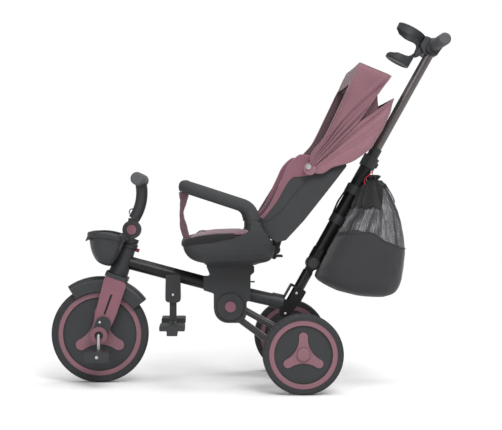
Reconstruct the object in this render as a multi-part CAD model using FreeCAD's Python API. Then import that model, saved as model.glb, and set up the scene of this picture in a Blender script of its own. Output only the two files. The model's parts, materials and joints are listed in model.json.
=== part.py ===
import FreeCAD, Part
import math
import os

# Folding tricycle for a small child, with a reclining seat, a folded hood and a push bar.
# Millimetres. +X points to the rear, +Y to the child's left-hand far side, +Z up, floor at Z 0.
# Sizes are laid out from the front axle (X 0); every solid is moved by SHIFT_X on export,
# so that the finished part's origin is the middle of its footprint.

# Whole tricycle
WHEEL_BASE = 508.0
REAR_TRACK = 440.0
OVERRUN = 3.0
RUNNING_GAP = 0.05
SOFT_GAP = 0.4
SEAT_GAP = 0.2

# Wheels
FRONT_WHEEL_R = 125.5
FRONT_RING_R = 107.0
FRONT_RING_INNER_R = 95.0
FRONT_WHEEL_W = 42.0
REAR_WHEEL_R = 98.0
REAR_RING_R = 83.0
REAR_RING_INNER_R = 71.0
REAR_WHEEL_W = 40.0
TYRE_SHOULDER_R = 12.0
RIM_INSET = 4.0
WEB_INSET = 8.0
RING_PROUD = 2.5
BOSS_THICK = 3.5
FRONT_LOBE_REACH = 70.0
FRONT_LOBE_TIP_R = 14.0
FRONT_LOBE_WAIST_R = 27.0
REAR_LOBE_REACH = 54.0
REAR_LOBE_TIP_R = 10.7
REAR_LOBE_WAIST_R = 21.0
LOBE_COUNT = 3
HUB_R = 15.0
HUB_INSET = 1.0
SPOKE_TURN = 90.0

# Front axle, cranks and pedals
CRANK_ROD_R = 4.0
CRANK_RADIUS = 47.5
CRANK_ARM_Y = 62.0
PEDAL_INNER_Y = 68.0
PEDAL_WIDTH = 58.0
PEDAL_LENGTH = 62.0
PEDAL_THICK = 26.0
PEDAL_CORNER_R = 6.0
CRANK_END_SPARE = 2.0

# Steering axis and fork
STEER_LEAN = 20.0
STEER_AHEAD = 10.0
FORK_LEG_Y = 35.0
FORK_LEG_THICK = 12.0
FORK_LEG_TOP = 152.0
FORK_TOP_FRONT = 29.0
FORK_TOP_REAR = 31.0
FORK_MID_UP = 68.0
FORK_MID_FRONT = 20.5
FORK_MID_REAR = 33.0
FORK_END_R = 18.0
FORK_CORNER_R = 9.0
FORK_SLOT_LOW = 58.0
FORK_SLOT_HIGH = 112.0
FORK_SLOT_WIDTH = 5.0
FORK_SLOT_DEEP = 3.0
FORK_SLOT_REAR = 4.0
CROWN_R = 30.0
CROWN_HIGH = 11.4
CROWN_CORNER_R = 8.0
STEERER_R = 11.0
END_CAP_R = 20.0
END_CAP_THICK = 5.0
END_CAP_UP = 30.0
COLLAR_R = 22.0
COLLAR_THICK = 5.0
COLLAR_HOLE_R = 10.0
RIVET_R = 3.0
RIVET_HEAD = 1.6
RIVET_UP = 36.0

# Fender over the front wheel
FENDER_R = 148.0
FENDER_SKIRT_R = 110.0
FENDER_HALF_W = 31.0
FENDER_WALL = 3.0
FENDER_SHOULDER = 14.0
FENDER_FRONT_DEG = 33.8
FENDER_REAR_DEG = 53.2
FENDER_BOSS_R = 9.0

# Head tube, with the handlebar hinge on top
HEAD_BOTTOM = 164.0
HEAD_TOP = 254.0
HEAD_BOTTOM_R = 25.5
HEAD_TOP_R = 20.0
TOP_COLLAR_R = 21.5
TOP_COLLAR_HIGH = 10.0
BAR_HINGE_UP = 284.7
BAR_HINGE_FRONT = 5.7
BAR_HINGE_R = 24.0
BAR_CHEEK_Y = 13.3
BAR_CHEEK_THICK = 6.2
BAR_KNUCKLE_R = 22.0
BAR_BUTTON_R = 12.5
BAR_BUTTON_PROUD = 3.5
BAR_PIN_R = 5.0
BUTTON_TRAVEL = 3.0
BUTTON_LIP = 2.0
LOCK_TAB_UP = 239.0
LOCK_TAB_LONG = 14.0
LOCK_TAB_HIGH = 9.0
LOCK_TAB_WIDE = 10.0
LOCK_TAB_TRAVEL = 3.0

# Handlebar
STEM_R = 15.0
STEM_WALL = 3.0
STEM_NECK = 27.0
STEM_RISE = 130.0
STEM_LEAN_BACK = 21.0
STEM_BOW = 11.5
STEM_START_BACK = 4.8
BAR_HALF_LENGTH = 170.0
BAR_TUBE_R = 10.0
GRIP_R = 16.3
GRIP_INNER_Y = 34.0
T_SLEEVE_R = 16.5
HOOK_R = 8.0
HOOK_WIRE_R = 1.4
HOOK_UP = 46.0

# Main tube, centre housing and rear strut
TUBE_R = 17.0
TUBE_WALL = 2.0
MAIN_DROP = 14.85
MAIN_AXIS_X = 268.0
MAIN_AXIS_Z = 258.0
MAIN_FRONT_X = 76.0
MAIN_REAR_X = 305.0
HOUSING_X = 336.8
HOUSING_TOP = 302.0
HOUSING_HALF_Y = 34.0
HOUSING_TOP_FRONT = 62.0
HOUSING_TOP_REAR = 61.5
HOUSING_BACK = 52.0
HOUSING_LOBE_R = 42.0
HOUSING_CORNER_R = 7.0
HOUSING_FLANGE = 16.0
HOUSING_NECK_FRONT = 50.0
SLOT_HALF_Y = 11.6
SLOT_TOP_UP = 31.0
FOLD_Z = 197.5
FOLD_KNUCKLE_R = 27.0
FOLD_KNUCKLE_HALF_Y = 11.0
FOLD_PIN_R = 6.0
FOLD_PIN_HALF = 28.0
HUB_COVER_R = 35.0
HUB_COVER_THICK = 7.0
HUB_BUTTON_R = 14.0
HUB_BUTTON_LONG = 11.0
STRUT_DROP = 12.5
STRUT_AXIS_X = 392.9
STRUT_AXIS_Z = 224.5
STRUT_FRONT_X = 369.0
STRUT_REAR_X = 474.0
SLEEVE_LONG = 30.0
SLEEVE_R = 19.5
RELEASE_TAB_LONG = 27.0
RELEASE_TAB_WIDE = 24.0
RELEASE_TAB_THICK = 2.6
RELEASE_TAB_DROP = 41.0
RELEASE_TRAVEL = 3.0
RELEASE_IN = 15.0

# Folding rear fork
FORK_TUBE_R = 9.0
FORK_TUBE_WALL = 1.5
UPPER_START_UP = 8.5
UPPER_DROP = 29.2
LOWER_START_DOWN = 14.0
LOWER_DROP = 36.3
CASTING_REAR = 26.0
CASTING_FRONT = 36.0
CASTING_HALF_Y = 20.0
CASTING_R = 22.0
AXLE_R = 6.0
BEAM_R = 11.0
BEAM_END_GAP = 4.0

# Footrest
FOOT_X = 189.0
FOOT_Z = 227.0
FOOT_BRACKET_R = 20.0
FOOT_BRACKET_HALF_Y = 19.0
FOOT_BRACKET_HALF_X = 19.0
FOOT_KNUCKLE_R = 15.0
FOOT_KNUCKLE_HALF_Y = 8.0
FOOT_BORE_GAP = 0.5
FOOT_STRUT_HALF = 9.0
FOOT_LONG = 75.0
FOOT_CROSS_R = 9.0
FOOT_PAD_INNER_Y = 62.0
FOOT_PAD_WIDE = 85.0
FOOT_PAD_LONG = 64.0
FOOT_PAD_THICK = 13.0
FOOT_STUB_LONG = 27.0
FOOT_STUB_DEEP = 12.0

# Front basket
BASKET_TOP_Z = 389.0
BASKET_BAND = 13.0
BASKET_BOTTOM_Z = 304.0
BASKET_TOP_FRONT = 78.0
BASKET_TOP_HALF_Y = 98.0
BASKET_SHARES = (
    (0.0, 0.30, 0.66),
    (0.1, 0.42, 0.76),
    (0.26, 0.55, 0.84),
    (0.5, 0.70, 0.90),
    (0.75, 0.84, 0.95),
    (1.0, 1.0, 1.0),
)
BASKET_WALL = 3.0
BASKET_CORNER_R = 22.0
BASKET_RIM = 5.0
BASKET_STANDOFF = 4.0
BASKET_NOTCH_R = 33.0
BASKET_BOSS_R = 9.0
BASKET_BOSS_UP = 215.0

# Rear bracket, push bar and fold joint, in the frame of the leaning push bar
PUSH_LEAN = 29.2
PUSH_FOLD_X = 551.6
PUSH_FOLD_Z = 308.2
RIVET_1_DOWN = 88.7
RIVET_2_DOWN = 148.5
BASE_R = 13.5
BASE_WALL = 2.0
BASE_TOP_DOWN = 24.0
BRACKET_PLATE = 3.0
BRACKET_UP = 16.0
BRACKET_DOWN = 12.0
BRACKET_REAR = 20.5
BRACKET_FRONT = 10.0
BRACKET_STRIP = 24.3
BRACKET_STRIP_THICK = 4.0
BRACKET_STEP_DOWN = 14.0
BRACKET_LOW_R = 12.0
BRACKET_CORNER_R = 4.0
PUSH_TONGUE_HALF_Y = 7.0
PUSH_TONGUE_R = 14.0
PUSH_CLEVIS_GAP = 0.4
PUSH_CLEVIS_R = 18.5
PUSH_CLEVIS_HALF_Y = 16.5
PUSH_PIN_R = 4.0
PUSH_KNOB_R = 14.0
PUSH_KNOB_THICK = 6.0
OUTER_R = 16.5
OUTER_START = 23.0
OUTER_END = 300.0
INNER_R = 12.0
INNER_WALL = 1.6
INNER_START = 60.0
INNER_END = 630.0
CLAMP_LOW = 285.0
CLAMP_HIGH = 316.0
CLAMP_R = 21.0
CLAMP_BUTTON_R = 7.0
CLAMP_BUTTON_LONG = 9.0
CLAMP_BUTTON_TRAVEL = 3.0
TOP_SLEEVE_HIGH = 341.0
TOP_SLEEVE_R = 15.0
STRAP_COLLAR_LOW = 205.0
STRAP_COLLAR_HIGH = 229.0
STRAP_COLLAR_R = 21.0
SMALL_CLIP_LOW = 118.0
SMALL_CLIP_HIGH = 142.0
SMALL_CLIP_R = 19.5

# Handle head, grip and cup holder
HANDLE_UP = 646.5
HANDLE_HALF_LENGTH = 150.0
HANDLE_TUBE_R = 11.0
HANDLE_GRIP_R = 15.5
HANDLE_GRIP_INNER_Y = 24.0
HEAD_CAST_R = 19.0
HEAD_CAST_LOW = 592.0
CUP_OUT = 69.6
CUP_RING_R = 37.5
CUP_RING_WALL = 3.0
CUP_RING_LOW = 626.0
CUP_RING_HIGH = 662.0
CUP_TRAY_OUT = 64.0
CUP_TRAY_R = 32.0
CUP_TRAY_LOW = 559.0
CUP_TRAY_HIGH = 588.0
CUP_TRAY_FLOOR = 3.0
CUP_NECK_HALF_Y = 9.0
CUP_CLAMP_LOW = 597.0
CUP_CLAMP_HIGH = 617.0
CUP_NECK_THICK = 9.0

# Bag behind the push bar
BAG_HALF_Y = 118.0
BAG_LOW_Z = 228.0
BAG_TURN_Z = 262.0
BAG_SEAM_Z = 356.0
BAG_NECK_Z = 522.0
BAG_REAR_X = 784.0
BAG_MID_REAR_X = 768.0
BAG_MID_Z = 450.0
BAG_MID_HALF_Y = 84.0
BAG_NECK_LONG = 26.0
BAG_NECK_HALF_Y = 17.0
BAG_TURN_FRONT_X = 568.0
BAG_BOTTOM_DRAW = 62.0
BAG_BOTTOM_SHARES = (
    (0.0, 1.0),
    (0.12, 0.62),
    (0.34, 0.30),
    (0.66, 0.08),
    (1.0, 0.0),
)
BAG_FRONT_GAP = 5.0
BAG_WALL = 2.0
BAG_CORNER_R = 34.0
BAG_NECK_CORNER_R = 8.0
BAG_KNOT_HIGH = 16.0

# Seat
SEAT_HALF_Y = 150.0
SPIGOT_R = 14.0
SPIGOT_DEEP = 58.0
TURNTABLE_HIGH = 4.0
TURNTABLE_HALF_X = 56.0
TURNTABLE_HALF_Y = 60.0
SHELL_WALL = 4.0
SHELL_LEVEL_2 = 10.0
SHELL_LEVEL_3 = 24.0
SHELL_LEVEL_4 = 44.0
SHELL_TOP = 66.0
SHELL_FRONT_X = 217.0
SHELL_REAR_X = 446.0
SHELL_LOW_FRONT_X = 272.0
SHELL_LOW_REAR_X = 402.0
SHELL_LOW_HALF_Y = 84.0
SHELL_2_FRONT_X = 250.0
SHELL_2_REAR_X = 430.0
SHELL_2_HALF_Y = 118.0
SHELL_3_FRONT_X = 228.0
SHELL_3_REAR_X = 442.0
SHELL_3_HALF_Y = 140.0
SHELL_CORNER_R = 40.0
CUSHION_CROWN = 24.0
CUSHION_SEAT_Z = 330.0
CUSHION_REAR_X = 400.0
CUSHION_CORNER_R = 34.0
CUSHION_ROLL = 46.0
CUSHION_DOME_DEGREES = (0, 20, 42, 64, 84)
POST_X = 390.0
POST_Y = 152.0
POST_HALF_X = 18.0
POST_HALF_Y = 14.0
POST_TOP = 415.0
POST_CORNER_R = 8.0
POST_BORE_DEEP = 44.0
POST_FOOT_REAR = 52.0
POST_RISE = 62.0
POST_RIM_FRONT = 100.0
ARMREST_ROUND_SHARES = (0.7, 0.45, 0.25, 0.1)
POST_RIM_UP = 42.0
LUG_ROOM = 3.0

# Safety bar and its strap
LEG_R = 9.0
LEG_TOP = 423.0
FOAM_R = 16.0
RAIL_RISE = 18.1
RAIL_BEND_R = 38.0
BAR_FRONT_X = 221.0
BAR_PLAN_R = 70.0
STRAP_WIDE = 34.0
STRAP_THICK = 3.0
STRAP_LOW_Z = 397.0
STRAP_LOW_X = 227.0

# Backrest, in its own leaning frame from the bottom rear corner
BACK_X = 449.0
BACK_Z = 366.0
BACK_LEAN = 42.7
BACK_HIGH = 262.0
BACK_HALF_Y = 130.0
BACK_TOP_HALF_Y = 140.0
BACK_BULGE = 14.0
BACK_WALL = 6.0
WING_LOW = 20.0
WING_LOW_FRONT = 75.0
WING_MID = 117.0
WING_MID_FRONT = 93.0
WING_TOP = 180.0
WING_TOP_FRONT = 108.0
WING_END = 205.0
WING_END_FRONT = 94.0
BACK_TOP_FRONT = 16.0
WING_CORNER_R = 14.0
PAD_THICK = 20.0
PAD_END = 8.0
PAD_EDGE_R = 9.0
RECLINE_X = 452.0
RECLINE_Z = 345.0
RECLINE_LUG_R = 12.0
RECLINE_LUG_Y = 46.0
RECLINE_LUG_THICK = 10.0
RECLINE_EAR_THICK = 6.0
RECLINE_PIN_R = 4.0
LEVER_LONG = 24.0
LEVER_THICK = 5.0
LEVER_HALF_Y = 28.0
LEVER_PIN_R = 3.0
LEVER_EAR_R = 6.5
LEVER_AHEAD = 4.0
LEVER_DOWN = 18.0

# Folded hood
HOOD_X = 526.6
HOOD_Z = 554.6
HOOD_R = 306.0
HOOD_FRONT_HALF_Y = 156.0
HOOD_REAR_HALF_Y = 149.5
HOOD_CLOTH = 4.0
HOOD_SNAP_R = 7.0
HOOD_PIN_R = 3.0
HOOD_SNAP_THICK = 3.0
FRONT_SIDE_SHARES = (
    (-0.04, 0.05),
    (0.035, 0.118),
    (0.127, 0.229),
    (0.247, 0.471),
    (0.352, 0.692),
    (0.397, 0.798),
    (0.425, 0.852),
    (0.653, 0.758),
    (0.681, 0.742),
    (0.661, 0.705),
    (0.571, 0.6),
    (0.53, 0.45),
    (0.05, 0.0),
)
FRONT_BAND_SHARES = (
    (0.352, 0.692),
    (0.397, 0.798),
    (0.425, 0.852),
    (0.653, 0.758),
    (0.681, 0.742),
)
REAR_SIDE_SHARES = (
    (-0.03, 0.03),
    (0.376, 0.34),
    (0.514, 0.42),
    (0.6, 0.49),
    (0.705, 0.555),
    (0.677, 0.445),
    (0.612, 0.299),
    (0.523, 0.161),
    (0.36, 0.047),
    (0.181, -0.005),
    (0.116, -0.051),
    (0.035, -0.043),
)
REAR_BAND_SHARES = (
    (0.705, 0.555),
    (0.677, 0.445),
    (0.612, 0.299),
    (0.55, 0.205),
)
HOOD_EYE_R = 16.0

# Cords
CORD_R = 1.5
CORD_BEND = 3.0

# Places that follow from the sizes above
REAR_WHEEL_Y = REAR_TRACK / 2
HANDLE_X = PUSH_FOLD_X + HANDLE_UP * math.sin(math.radians(PUSH_LEAN))
SHIFT_X = -(HANDLE_X + HANDLE_GRIP_R - FRONT_WHEEL_R) / 2
NODES = {}


def add(name, *shapes):
    """Keeps one named node, made of one solid or of a group of separate solids."""
    solids = []
    for shape in shapes:
        solids.extend(shape.Solids)
    node = solids[0] if len(solids) == 1 else Part.Compound(solids)
    node.translate(FreeCAD.Vector(SHIFT_X, 0, 0))
    NODES[name] = node


def vec(x, y, z):
    return FreeCAD.Vector(x, y, z)


def rod(start, end, radius):
    """A round bar from one point to another."""
    along = end - start
    return Part.makeCylinder(radius, along.Length, start, along)


def pipe(start, end, radius, wall):
    """A round tube, open at both ends."""
    step = (end - start).normalize() * OVERRUN
    return rod(start, end, radius).cut(rod(start - step, end + step, radius - wall))


def disc(x, z, radius, y_low, y_high):
    """A round plate across the tricycle, standing on its edge."""
    return Part.makeCylinder(radius, y_high - y_low, vec(x, y_low, z), vec(0, 1, 0))


def block(x_low, x_high, y_low, y_high, z_low, z_high):
    return Part.makeBox(x_high - x_low, y_high - y_low, z_high - z_low, vec(x_low, y_low, z_low))


def mirrored(shape):
    """The same shape on the other side of the tricycle."""
    return shape.mirror(vec(0, 0, 0), vec(0, 1, 0))


def both_sides(shape):
    return [shape, mirrored(shape)]


def joined(first, *others):
    return first.fuse(list(others)).removeSplitter()


def wire(points, place):
    """A closed outline with rounded corners: each point is (a, b) or (a, b, corner radius)."""
    edges = []
    starts = []
    ends = []
    count = len(points)
    for i in range(count):
        here = vec(points[i][0], points[i][1], 0)
        before = vec(points[i - 1][0], points[i - 1][1], 0) - here
        after = vec(points[(i + 1) % count][0], points[(i + 1) % count][1], 0) - here
        radius = points[i][2] if len(points[i]) > 2 else 0
        half = before.getAngle(after) / 2
        room = 0.48 * min(before.Length, after.Length)
        setback = min(radius / math.tan(half), room) if radius else 0
        before.normalize()
        after.normalize()
        if setback == 0 or math.cos(half) < 1e-6:
            starts.append(here)
            ends.append(here)
            continue
        radius = setback * math.tan(half)
        toward = (before + after).normalize()
        middle = here + toward * (radius / math.sin(half) - radius)
        starts.append(here + before * setback)
        ends.append(here + after * setback)
        edges.append((i, Part.Arc(place(starts[i]), place(middle), place(ends[i])).toShape()))
    arcs = dict(edges)
    path = []
    for i in range(count):
        if i in arcs:
            path.append(arcs[i])
        following = starts[(i + 1) % count]
        if (following - ends[i]).Length > 1e-6:
            path.append(Part.makeLine(place(ends[i]), place(following)))
    return Part.Wire(path)


def slab(points, y_low, y_high):
    """An outline in X and Z, carried across from one Y to another."""
    face = Part.Face(wire(points, lambda p: vec(p.x, y_low, p.y)))
    return face.extrude(vec(0, y_high - y_low, 0))


def level(x_low, x_high, half_y, z, corner, y_mid=0):
    """A level rounded rectangle, as one section of a loft."""
    points = [
        (x_low, y_mid - half_y, corner),
        (x_high, y_mid - half_y, corner),
        (x_high, y_mid + half_y, corner),
        (x_low, y_mid + half_y, corner),
    ]
    return wire(points, lambda p: vec(p.x, p.y, z))


def loft(sections):
    return Part.makeLoft(sections, True, False)


def lean(shape, angle, x, z):
    """Tips a shape that was built upright to the rear by an angle, and sets it at X and Z."""
    shape = shape.copy()
    shape.rotate(vec(0, 0, 0), vec(0, 1, 0), angle)
    shape.translate(vec(x, 0, z))
    return shape


def steered(shape):
    """From the frame of the steering axis, where Z runs up the axis and -X points forward."""
    return lean(shape, STEER_LEAN, -STEER_AHEAD, FRONT_WHEEL_R)


def pushed(shape):
    """From the frame of the push bar, with its fold pin at the origin."""
    return lean(shape, PUSH_LEAN, PUSH_FOLD_X, PUSH_FOLD_Z)


def reclined(shape):
    """From the frame of the backrest, where Z runs up the back and -X points forward."""
    return lean(shape, BACK_LEAN, BACK_X, BACK_Z)


def spun(profile, x, z):
    """A closed profile of (radius, y) points, turned about a wheel's axle."""
    face = Part.Face(wire(profile, lambda p: vec(x, p.y, z + p.x)))
    return face.revolve(vec(x, 0, z), vec(0, 1, 0), 360)


def lobed_plate(x, z, reach, tip_r, waist_r, turn, y_low, y_high):
    """The three-armed boss: round arm tips joined by hollow flanks."""
    edges = []
    step = 360.0 / LOBE_COUNT
    for i in range(LOBE_COUNT):
        arm = math.radians(turn + i * step)
        out = vec(math.cos(arm), 0, math.sin(arm))
        side = vec(-math.sin(arm), 0, math.cos(arm))
        tip = vec(x, y_low, z) + out * (reach - tip_r)
        half = math.radians(turn + (i + 0.5) * step)
        waist = vec(x, y_low, z) + vec(math.cos(half), 0, math.sin(half)) * waist_r
        next_arm = math.radians(turn + (i + 1) * step)
        next_out = vec(math.cos(next_arm), 0, math.sin(next_arm))
        next_side = vec(-math.sin(next_arm), 0, math.cos(next_arm))
        next_tip = vec(x, y_low, z) + next_out * (reach - tip_r)
        edges.append(Part.Arc(tip - side * tip_r, tip + out * tip_r, tip + side * tip_r).toShape())
        edges.append(Part.Arc(tip + side * tip_r, waist, next_tip - next_side * tip_r).toShape())
    return Part.Face(Part.Wire(edges)).extrude(vec(0, y_high - y_low, 0))


def wheel(x, y, z, size, name, bore_r, turn):
    """Tyre, wheel disc and the coloured trim: a ring and a three-armed boss on each face."""
    outer_r, ring_r, ring_inner_r, width, reach, tip_r, waist_r = size
    half = width / 2
    rim = half - RIM_INSET
    web = half - WEB_INSET
    hub = half - HUB_INSET
    ring = rim + RING_PROUD
    tyre_points = [
        (ring_r, y - half),
        (outer_r, y - half, TYRE_SHOULDER_R),
        (outer_r, y + half, TYRE_SHOULDER_R),
        (ring_r, y + half),
    ]
    add(name + "_tyre", spun(tyre_points, x, z))
    disc_points = [
        (bore_r, y - hub),
        (HUB_R, y - hub),
        (HUB_R, y - web),
        (ring_inner_r, y - web),
        (ring_inner_r, y - rim),
        (ring_r, y - rim),
        (ring_r, y + rim),
        (ring_inner_r, y + rim),
        (ring_inner_r, y + web),
        (HUB_R, y + web),
        (HUB_R, y + hub),
        (bore_r, y + hub),
    ]
    add(name + "_disc", spun(disc_points, x, z))
    trim = []
    for side in (-1, 1):
        low = min(side * rim, side * ring)
        ring_plate = disc(x, z, ring_r, y + low, y + low + RING_PROUD)
        hole = disc(x, z, ring_inner_r, y + low - OVERRUN, y + low + RING_PROUD + OVERRUN)
        trim.append(ring_plate.cut(hole))
        low = min(side * web, side * (web + BOSS_THICK))
        plate = lobed_plate(x, z, reach, tip_r, waist_r, turn, y + low, y + low + BOSS_THICK)
        hub_hole = disc(x, z, HUB_R, y + low - OVERRUN, y + low + BOSS_THICK + OVERRUN)
        trim.append(plate.cut(hub_hole))
    add(name + "_trim", *trim)


def make_front_wheel():
    size = (FRONT_WHEEL_R, FRONT_RING_R, FRONT_RING_INNER_R, FRONT_WHEEL_W,
            FRONT_LOBE_REACH, FRONT_LOBE_TIP_R, FRONT_LOBE_WAIST_R)
    wheel(0, 0, FRONT_WHEEL_R, size, "front", CRANK_ROD_R, SPOKE_TURN)
    axle = rod(vec(0, -CRANK_ARM_Y, FRONT_WHEEL_R), vec(0, CRANK_ARM_Y, FRONT_WHEEL_R), CRANK_ROD_R)
    parts = [axle]
    end_y = PEDAL_INNER_Y + PEDAL_WIDTH + CRANK_END_SPARE
    for side, z in ((-1, FRONT_WHEEL_R - CRANK_RADIUS), (1, FRONT_WHEEL_R + CRANK_RADIUS)):
        elbow = vec(0, side * CRANK_ARM_Y, FRONT_WHEEL_R)
        foot = vec(0, side * CRANK_ARM_Y, z)
        parts.append(rod(elbow, foot, CRANK_ROD_R))
        parts.append(Part.makeSphere(CRANK_ROD_R, elbow))
        parts.append(Part.makeSphere(CRANK_ROD_R, foot))
        parts.append(rod(foot, vec(0, side * end_y, z), CRANK_ROD_R))
    add("crank_axle", joined(parts[0], *parts[1:]))
    for side, name in ((-1, "pedal_near"), (1, "pedal_far")):
        z = FRONT_WHEEL_R + side * CRANK_RADIUS
        low = min(side * PEDAL_INNER_Y, side * (PEDAL_INNER_Y + PEDAL_WIDTH))
        half_x = PEDAL_LENGTH / 2
        half_z = PEDAL_THICK / 2
        points = [
            (-half_x, z - half_z, PEDAL_CORNER_R),
            (half_x, z - half_z, PEDAL_CORNER_R),
            (half_x, z + half_z, PEDAL_CORNER_R),
            (-half_x, z + half_z, PEDAL_CORNER_R),
        ]
        body = slab(points, low, low + PEDAL_WIDTH)
        bore = disc(0, z, CRANK_ROD_R + RUNNING_GAP, low - OVERRUN, low + PEDAL_WIDTH + OVERRUN)
        add(name, body.cut(bore))


def fork_leg():
    """The near leg in the steering frame, tapering to a round end about the axle."""
    axle_n = STEER_AHEAD * math.cos(math.radians(STEER_LEAN))
    axle_u = STEER_AHEAD * math.sin(math.radians(STEER_LEAN))
    points = [
        (-FORK_TOP_FRONT, FORK_LEG_TOP, FORK_CORNER_R),
        (-FORK_MID_FRONT, FORK_MID_UP, FORK_CORNER_R * 9),
        (axle_n - FORK_END_R, axle_u - FORK_END_R, FORK_END_R),
        (axle_n + FORK_END_R, axle_u - FORK_END_R, FORK_END_R),
        (FORK_MID_REAR, FORK_MID_UP, FORK_CORNER_R * 9),
        (FORK_TOP_REAR, FORK_LEG_TOP, FORK_CORNER_R),
    ]
    low = -FORK_LEG_Y - FORK_LEG_THICK
    leg = slab(points, low, -FORK_LEG_Y)
    slot_left = FORK_SLOT_REAR - FORK_SLOT_WIDTH / 2
    slot_right = FORK_SLOT_REAR + FORK_SLOT_WIDTH / 2
    slot = slab([
        (slot_left, FORK_SLOT_LOW, FORK_SLOT_WIDTH / 2),
        (slot_right, FORK_SLOT_LOW, FORK_SLOT_WIDTH / 2),
        (slot_right, FORK_SLOT_HIGH, FORK_SLOT_WIDTH / 2),
        (slot_left, FORK_SLOT_HIGH, FORK_SLOT_WIDTH / 2),
    ], low - OVERRUN, low + FORK_SLOT_DEEP)
    return leg.cut(slot)


def make_fork():
    bore_r = CRANK_ROD_R + RUNNING_GAP
    leg_low = -FORK_LEG_Y - FORK_LEG_THICK
    bore = disc(0, FRONT_WHEEL_R, bore_r, leg_low - OVERRUN, -FORK_LEG_Y + OVERRUN)
    leg = steered(fork_leg()).cut(bore)
    add("fork_legs", *both_sides(leg))
    crown_points = [
        (-CROWN_R, -FORK_LEG_Y - FORK_LEG_THICK, CROWN_CORNER_R),
        (CROWN_R, -FORK_LEG_Y - FORK_LEG_THICK, CROWN_CORNER_R),
        (CROWN_R, FORK_LEG_Y + FORK_LEG_THICK, CROWN_CORNER_R),
        (-CROWN_R, FORK_LEG_Y + FORK_LEG_THICK, CROWN_CORNER_R),
    ]
    crown = Part.Face(wire(crown_points, lambda p: vec(p.x, p.y, FORK_LEG_TOP)))
    crown = crown.extrude(vec(0, 0, CROWN_HIGH))
    steerer = rod(vec(0, 0, FORK_LEG_TOP), vec(0, 0, HEAD_TOP + SEAT_GAP), STEERER_R)
    add("fork_crown", steered(joined(crown, steerer)))
    cap_low = leg_low - END_CAP_THICK
    up_x = END_CAP_UP * math.sin(math.radians(STEER_LEAN))
    up_z = FRONT_WHEEL_R + END_CAP_UP * math.cos(math.radians(STEER_LEAN))
    cap = joined(disc(0, FRONT_WHEEL_R, END_CAP_R, cap_low, leg_low),
                 disc(up_x, up_z, END_CAP_R, cap_low, leg_low),
                 capsule_middle(0, FRONT_WHEEL_R, up_x, up_z, END_CAP_R, cap_low, leg_low))
    rivet_x = RIVET_UP * math.sin(math.radians(STEER_LEAN))
    rivet_z = FRONT_WHEEL_R + RIVET_UP * math.cos(math.radians(STEER_LEAN))
    cap = cap.cut(disc(0, FRONT_WHEEL_R, bore_r, cap_low - OVERRUN, leg_low + OVERRUN))
    rivet = disc(rivet_x, rivet_z, RIVET_R + RIVET_HEAD, cap_low - RIVET_HEAD, cap_low)
    collar = disc(0, FRONT_WHEEL_R, COLLAR_R, cap_low - COLLAR_THICK, cap_low)
    collar = collar.cut(disc(0, FRONT_WHEEL_R, COLLAR_HOLE_R,
                             cap_low - COLLAR_THICK - OVERRUN, cap_low + OVERRUN))
    add("fork_end_caps", *both_sides(joined(cap, collar, rivet)))


def capsule_middle(x0, z0, x1, z1, radius, y_low, y_high):
    """The straight part between two round ends of the same radius."""
    along = vec(x1 - x0, 0, z1 - z0).normalize()
    side_x = -along.z * radius
    side_z = along.x * radius
    points = [
        (x0 + side_x, z0 + side_z),
        (x1 + side_x, z1 + side_z),
        (x1 - side_x, z1 - side_z),
        (x0 - side_x, z0 - side_z),
    ]
    return slab(points, y_low, y_high)


def make_fender():
    """An arched skin about the front wheel, cut square at its front and rear tips."""
    def section(inset):
        half = FENDER_HALF_W - inset
        top = FENDER_R - inset
        return [
            (FENDER_SKIRT_R, -half),
            (top, -half, FENDER_SHOULDER),
            (top, half, FENDER_SHOULDER),
            (FENDER_SKIRT_R, half),
        ]

    def turned(points):
        face = Part.Face(wire(points, lambda p: vec(0, p.y, p.x)))
        face.rotate(vec(0, 0, 0), vec(0, 1, 0), -FENDER_FRONT_DEG)
        return face.revolve(vec(0, 0, 0), vec(0, 1, 0), FENDER_FRONT_DEG + FENDER_REAR_DEG)

    inner = section(FENDER_WALL)
    inner[0] = (FENDER_SKIRT_R - OVERRUN, inner[0][1])
    inner[3] = (FENDER_SKIRT_R - OVERRUN, inner[3][1])
    skin = turned(section(0)).cut(turned(inner))
    skin.translate(vec(0, 0, FRONT_WHEEL_R))
    boss = rod(vec(0, 0, FORK_LEG_TOP - FENDER_WALL - OVERRUN), vec(0, 0, FORK_LEG_TOP), FENDER_BOSS_R)
    boss = boss.copy()
    boss = steered(boss)
    inside = disc(0, FRONT_WHEEL_R, FENDER_R - FENDER_WALL, -FENDER_HALF_W, FENDER_HALF_W)
    add("fender", joined(skin, boss.cut(inside)))


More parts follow.
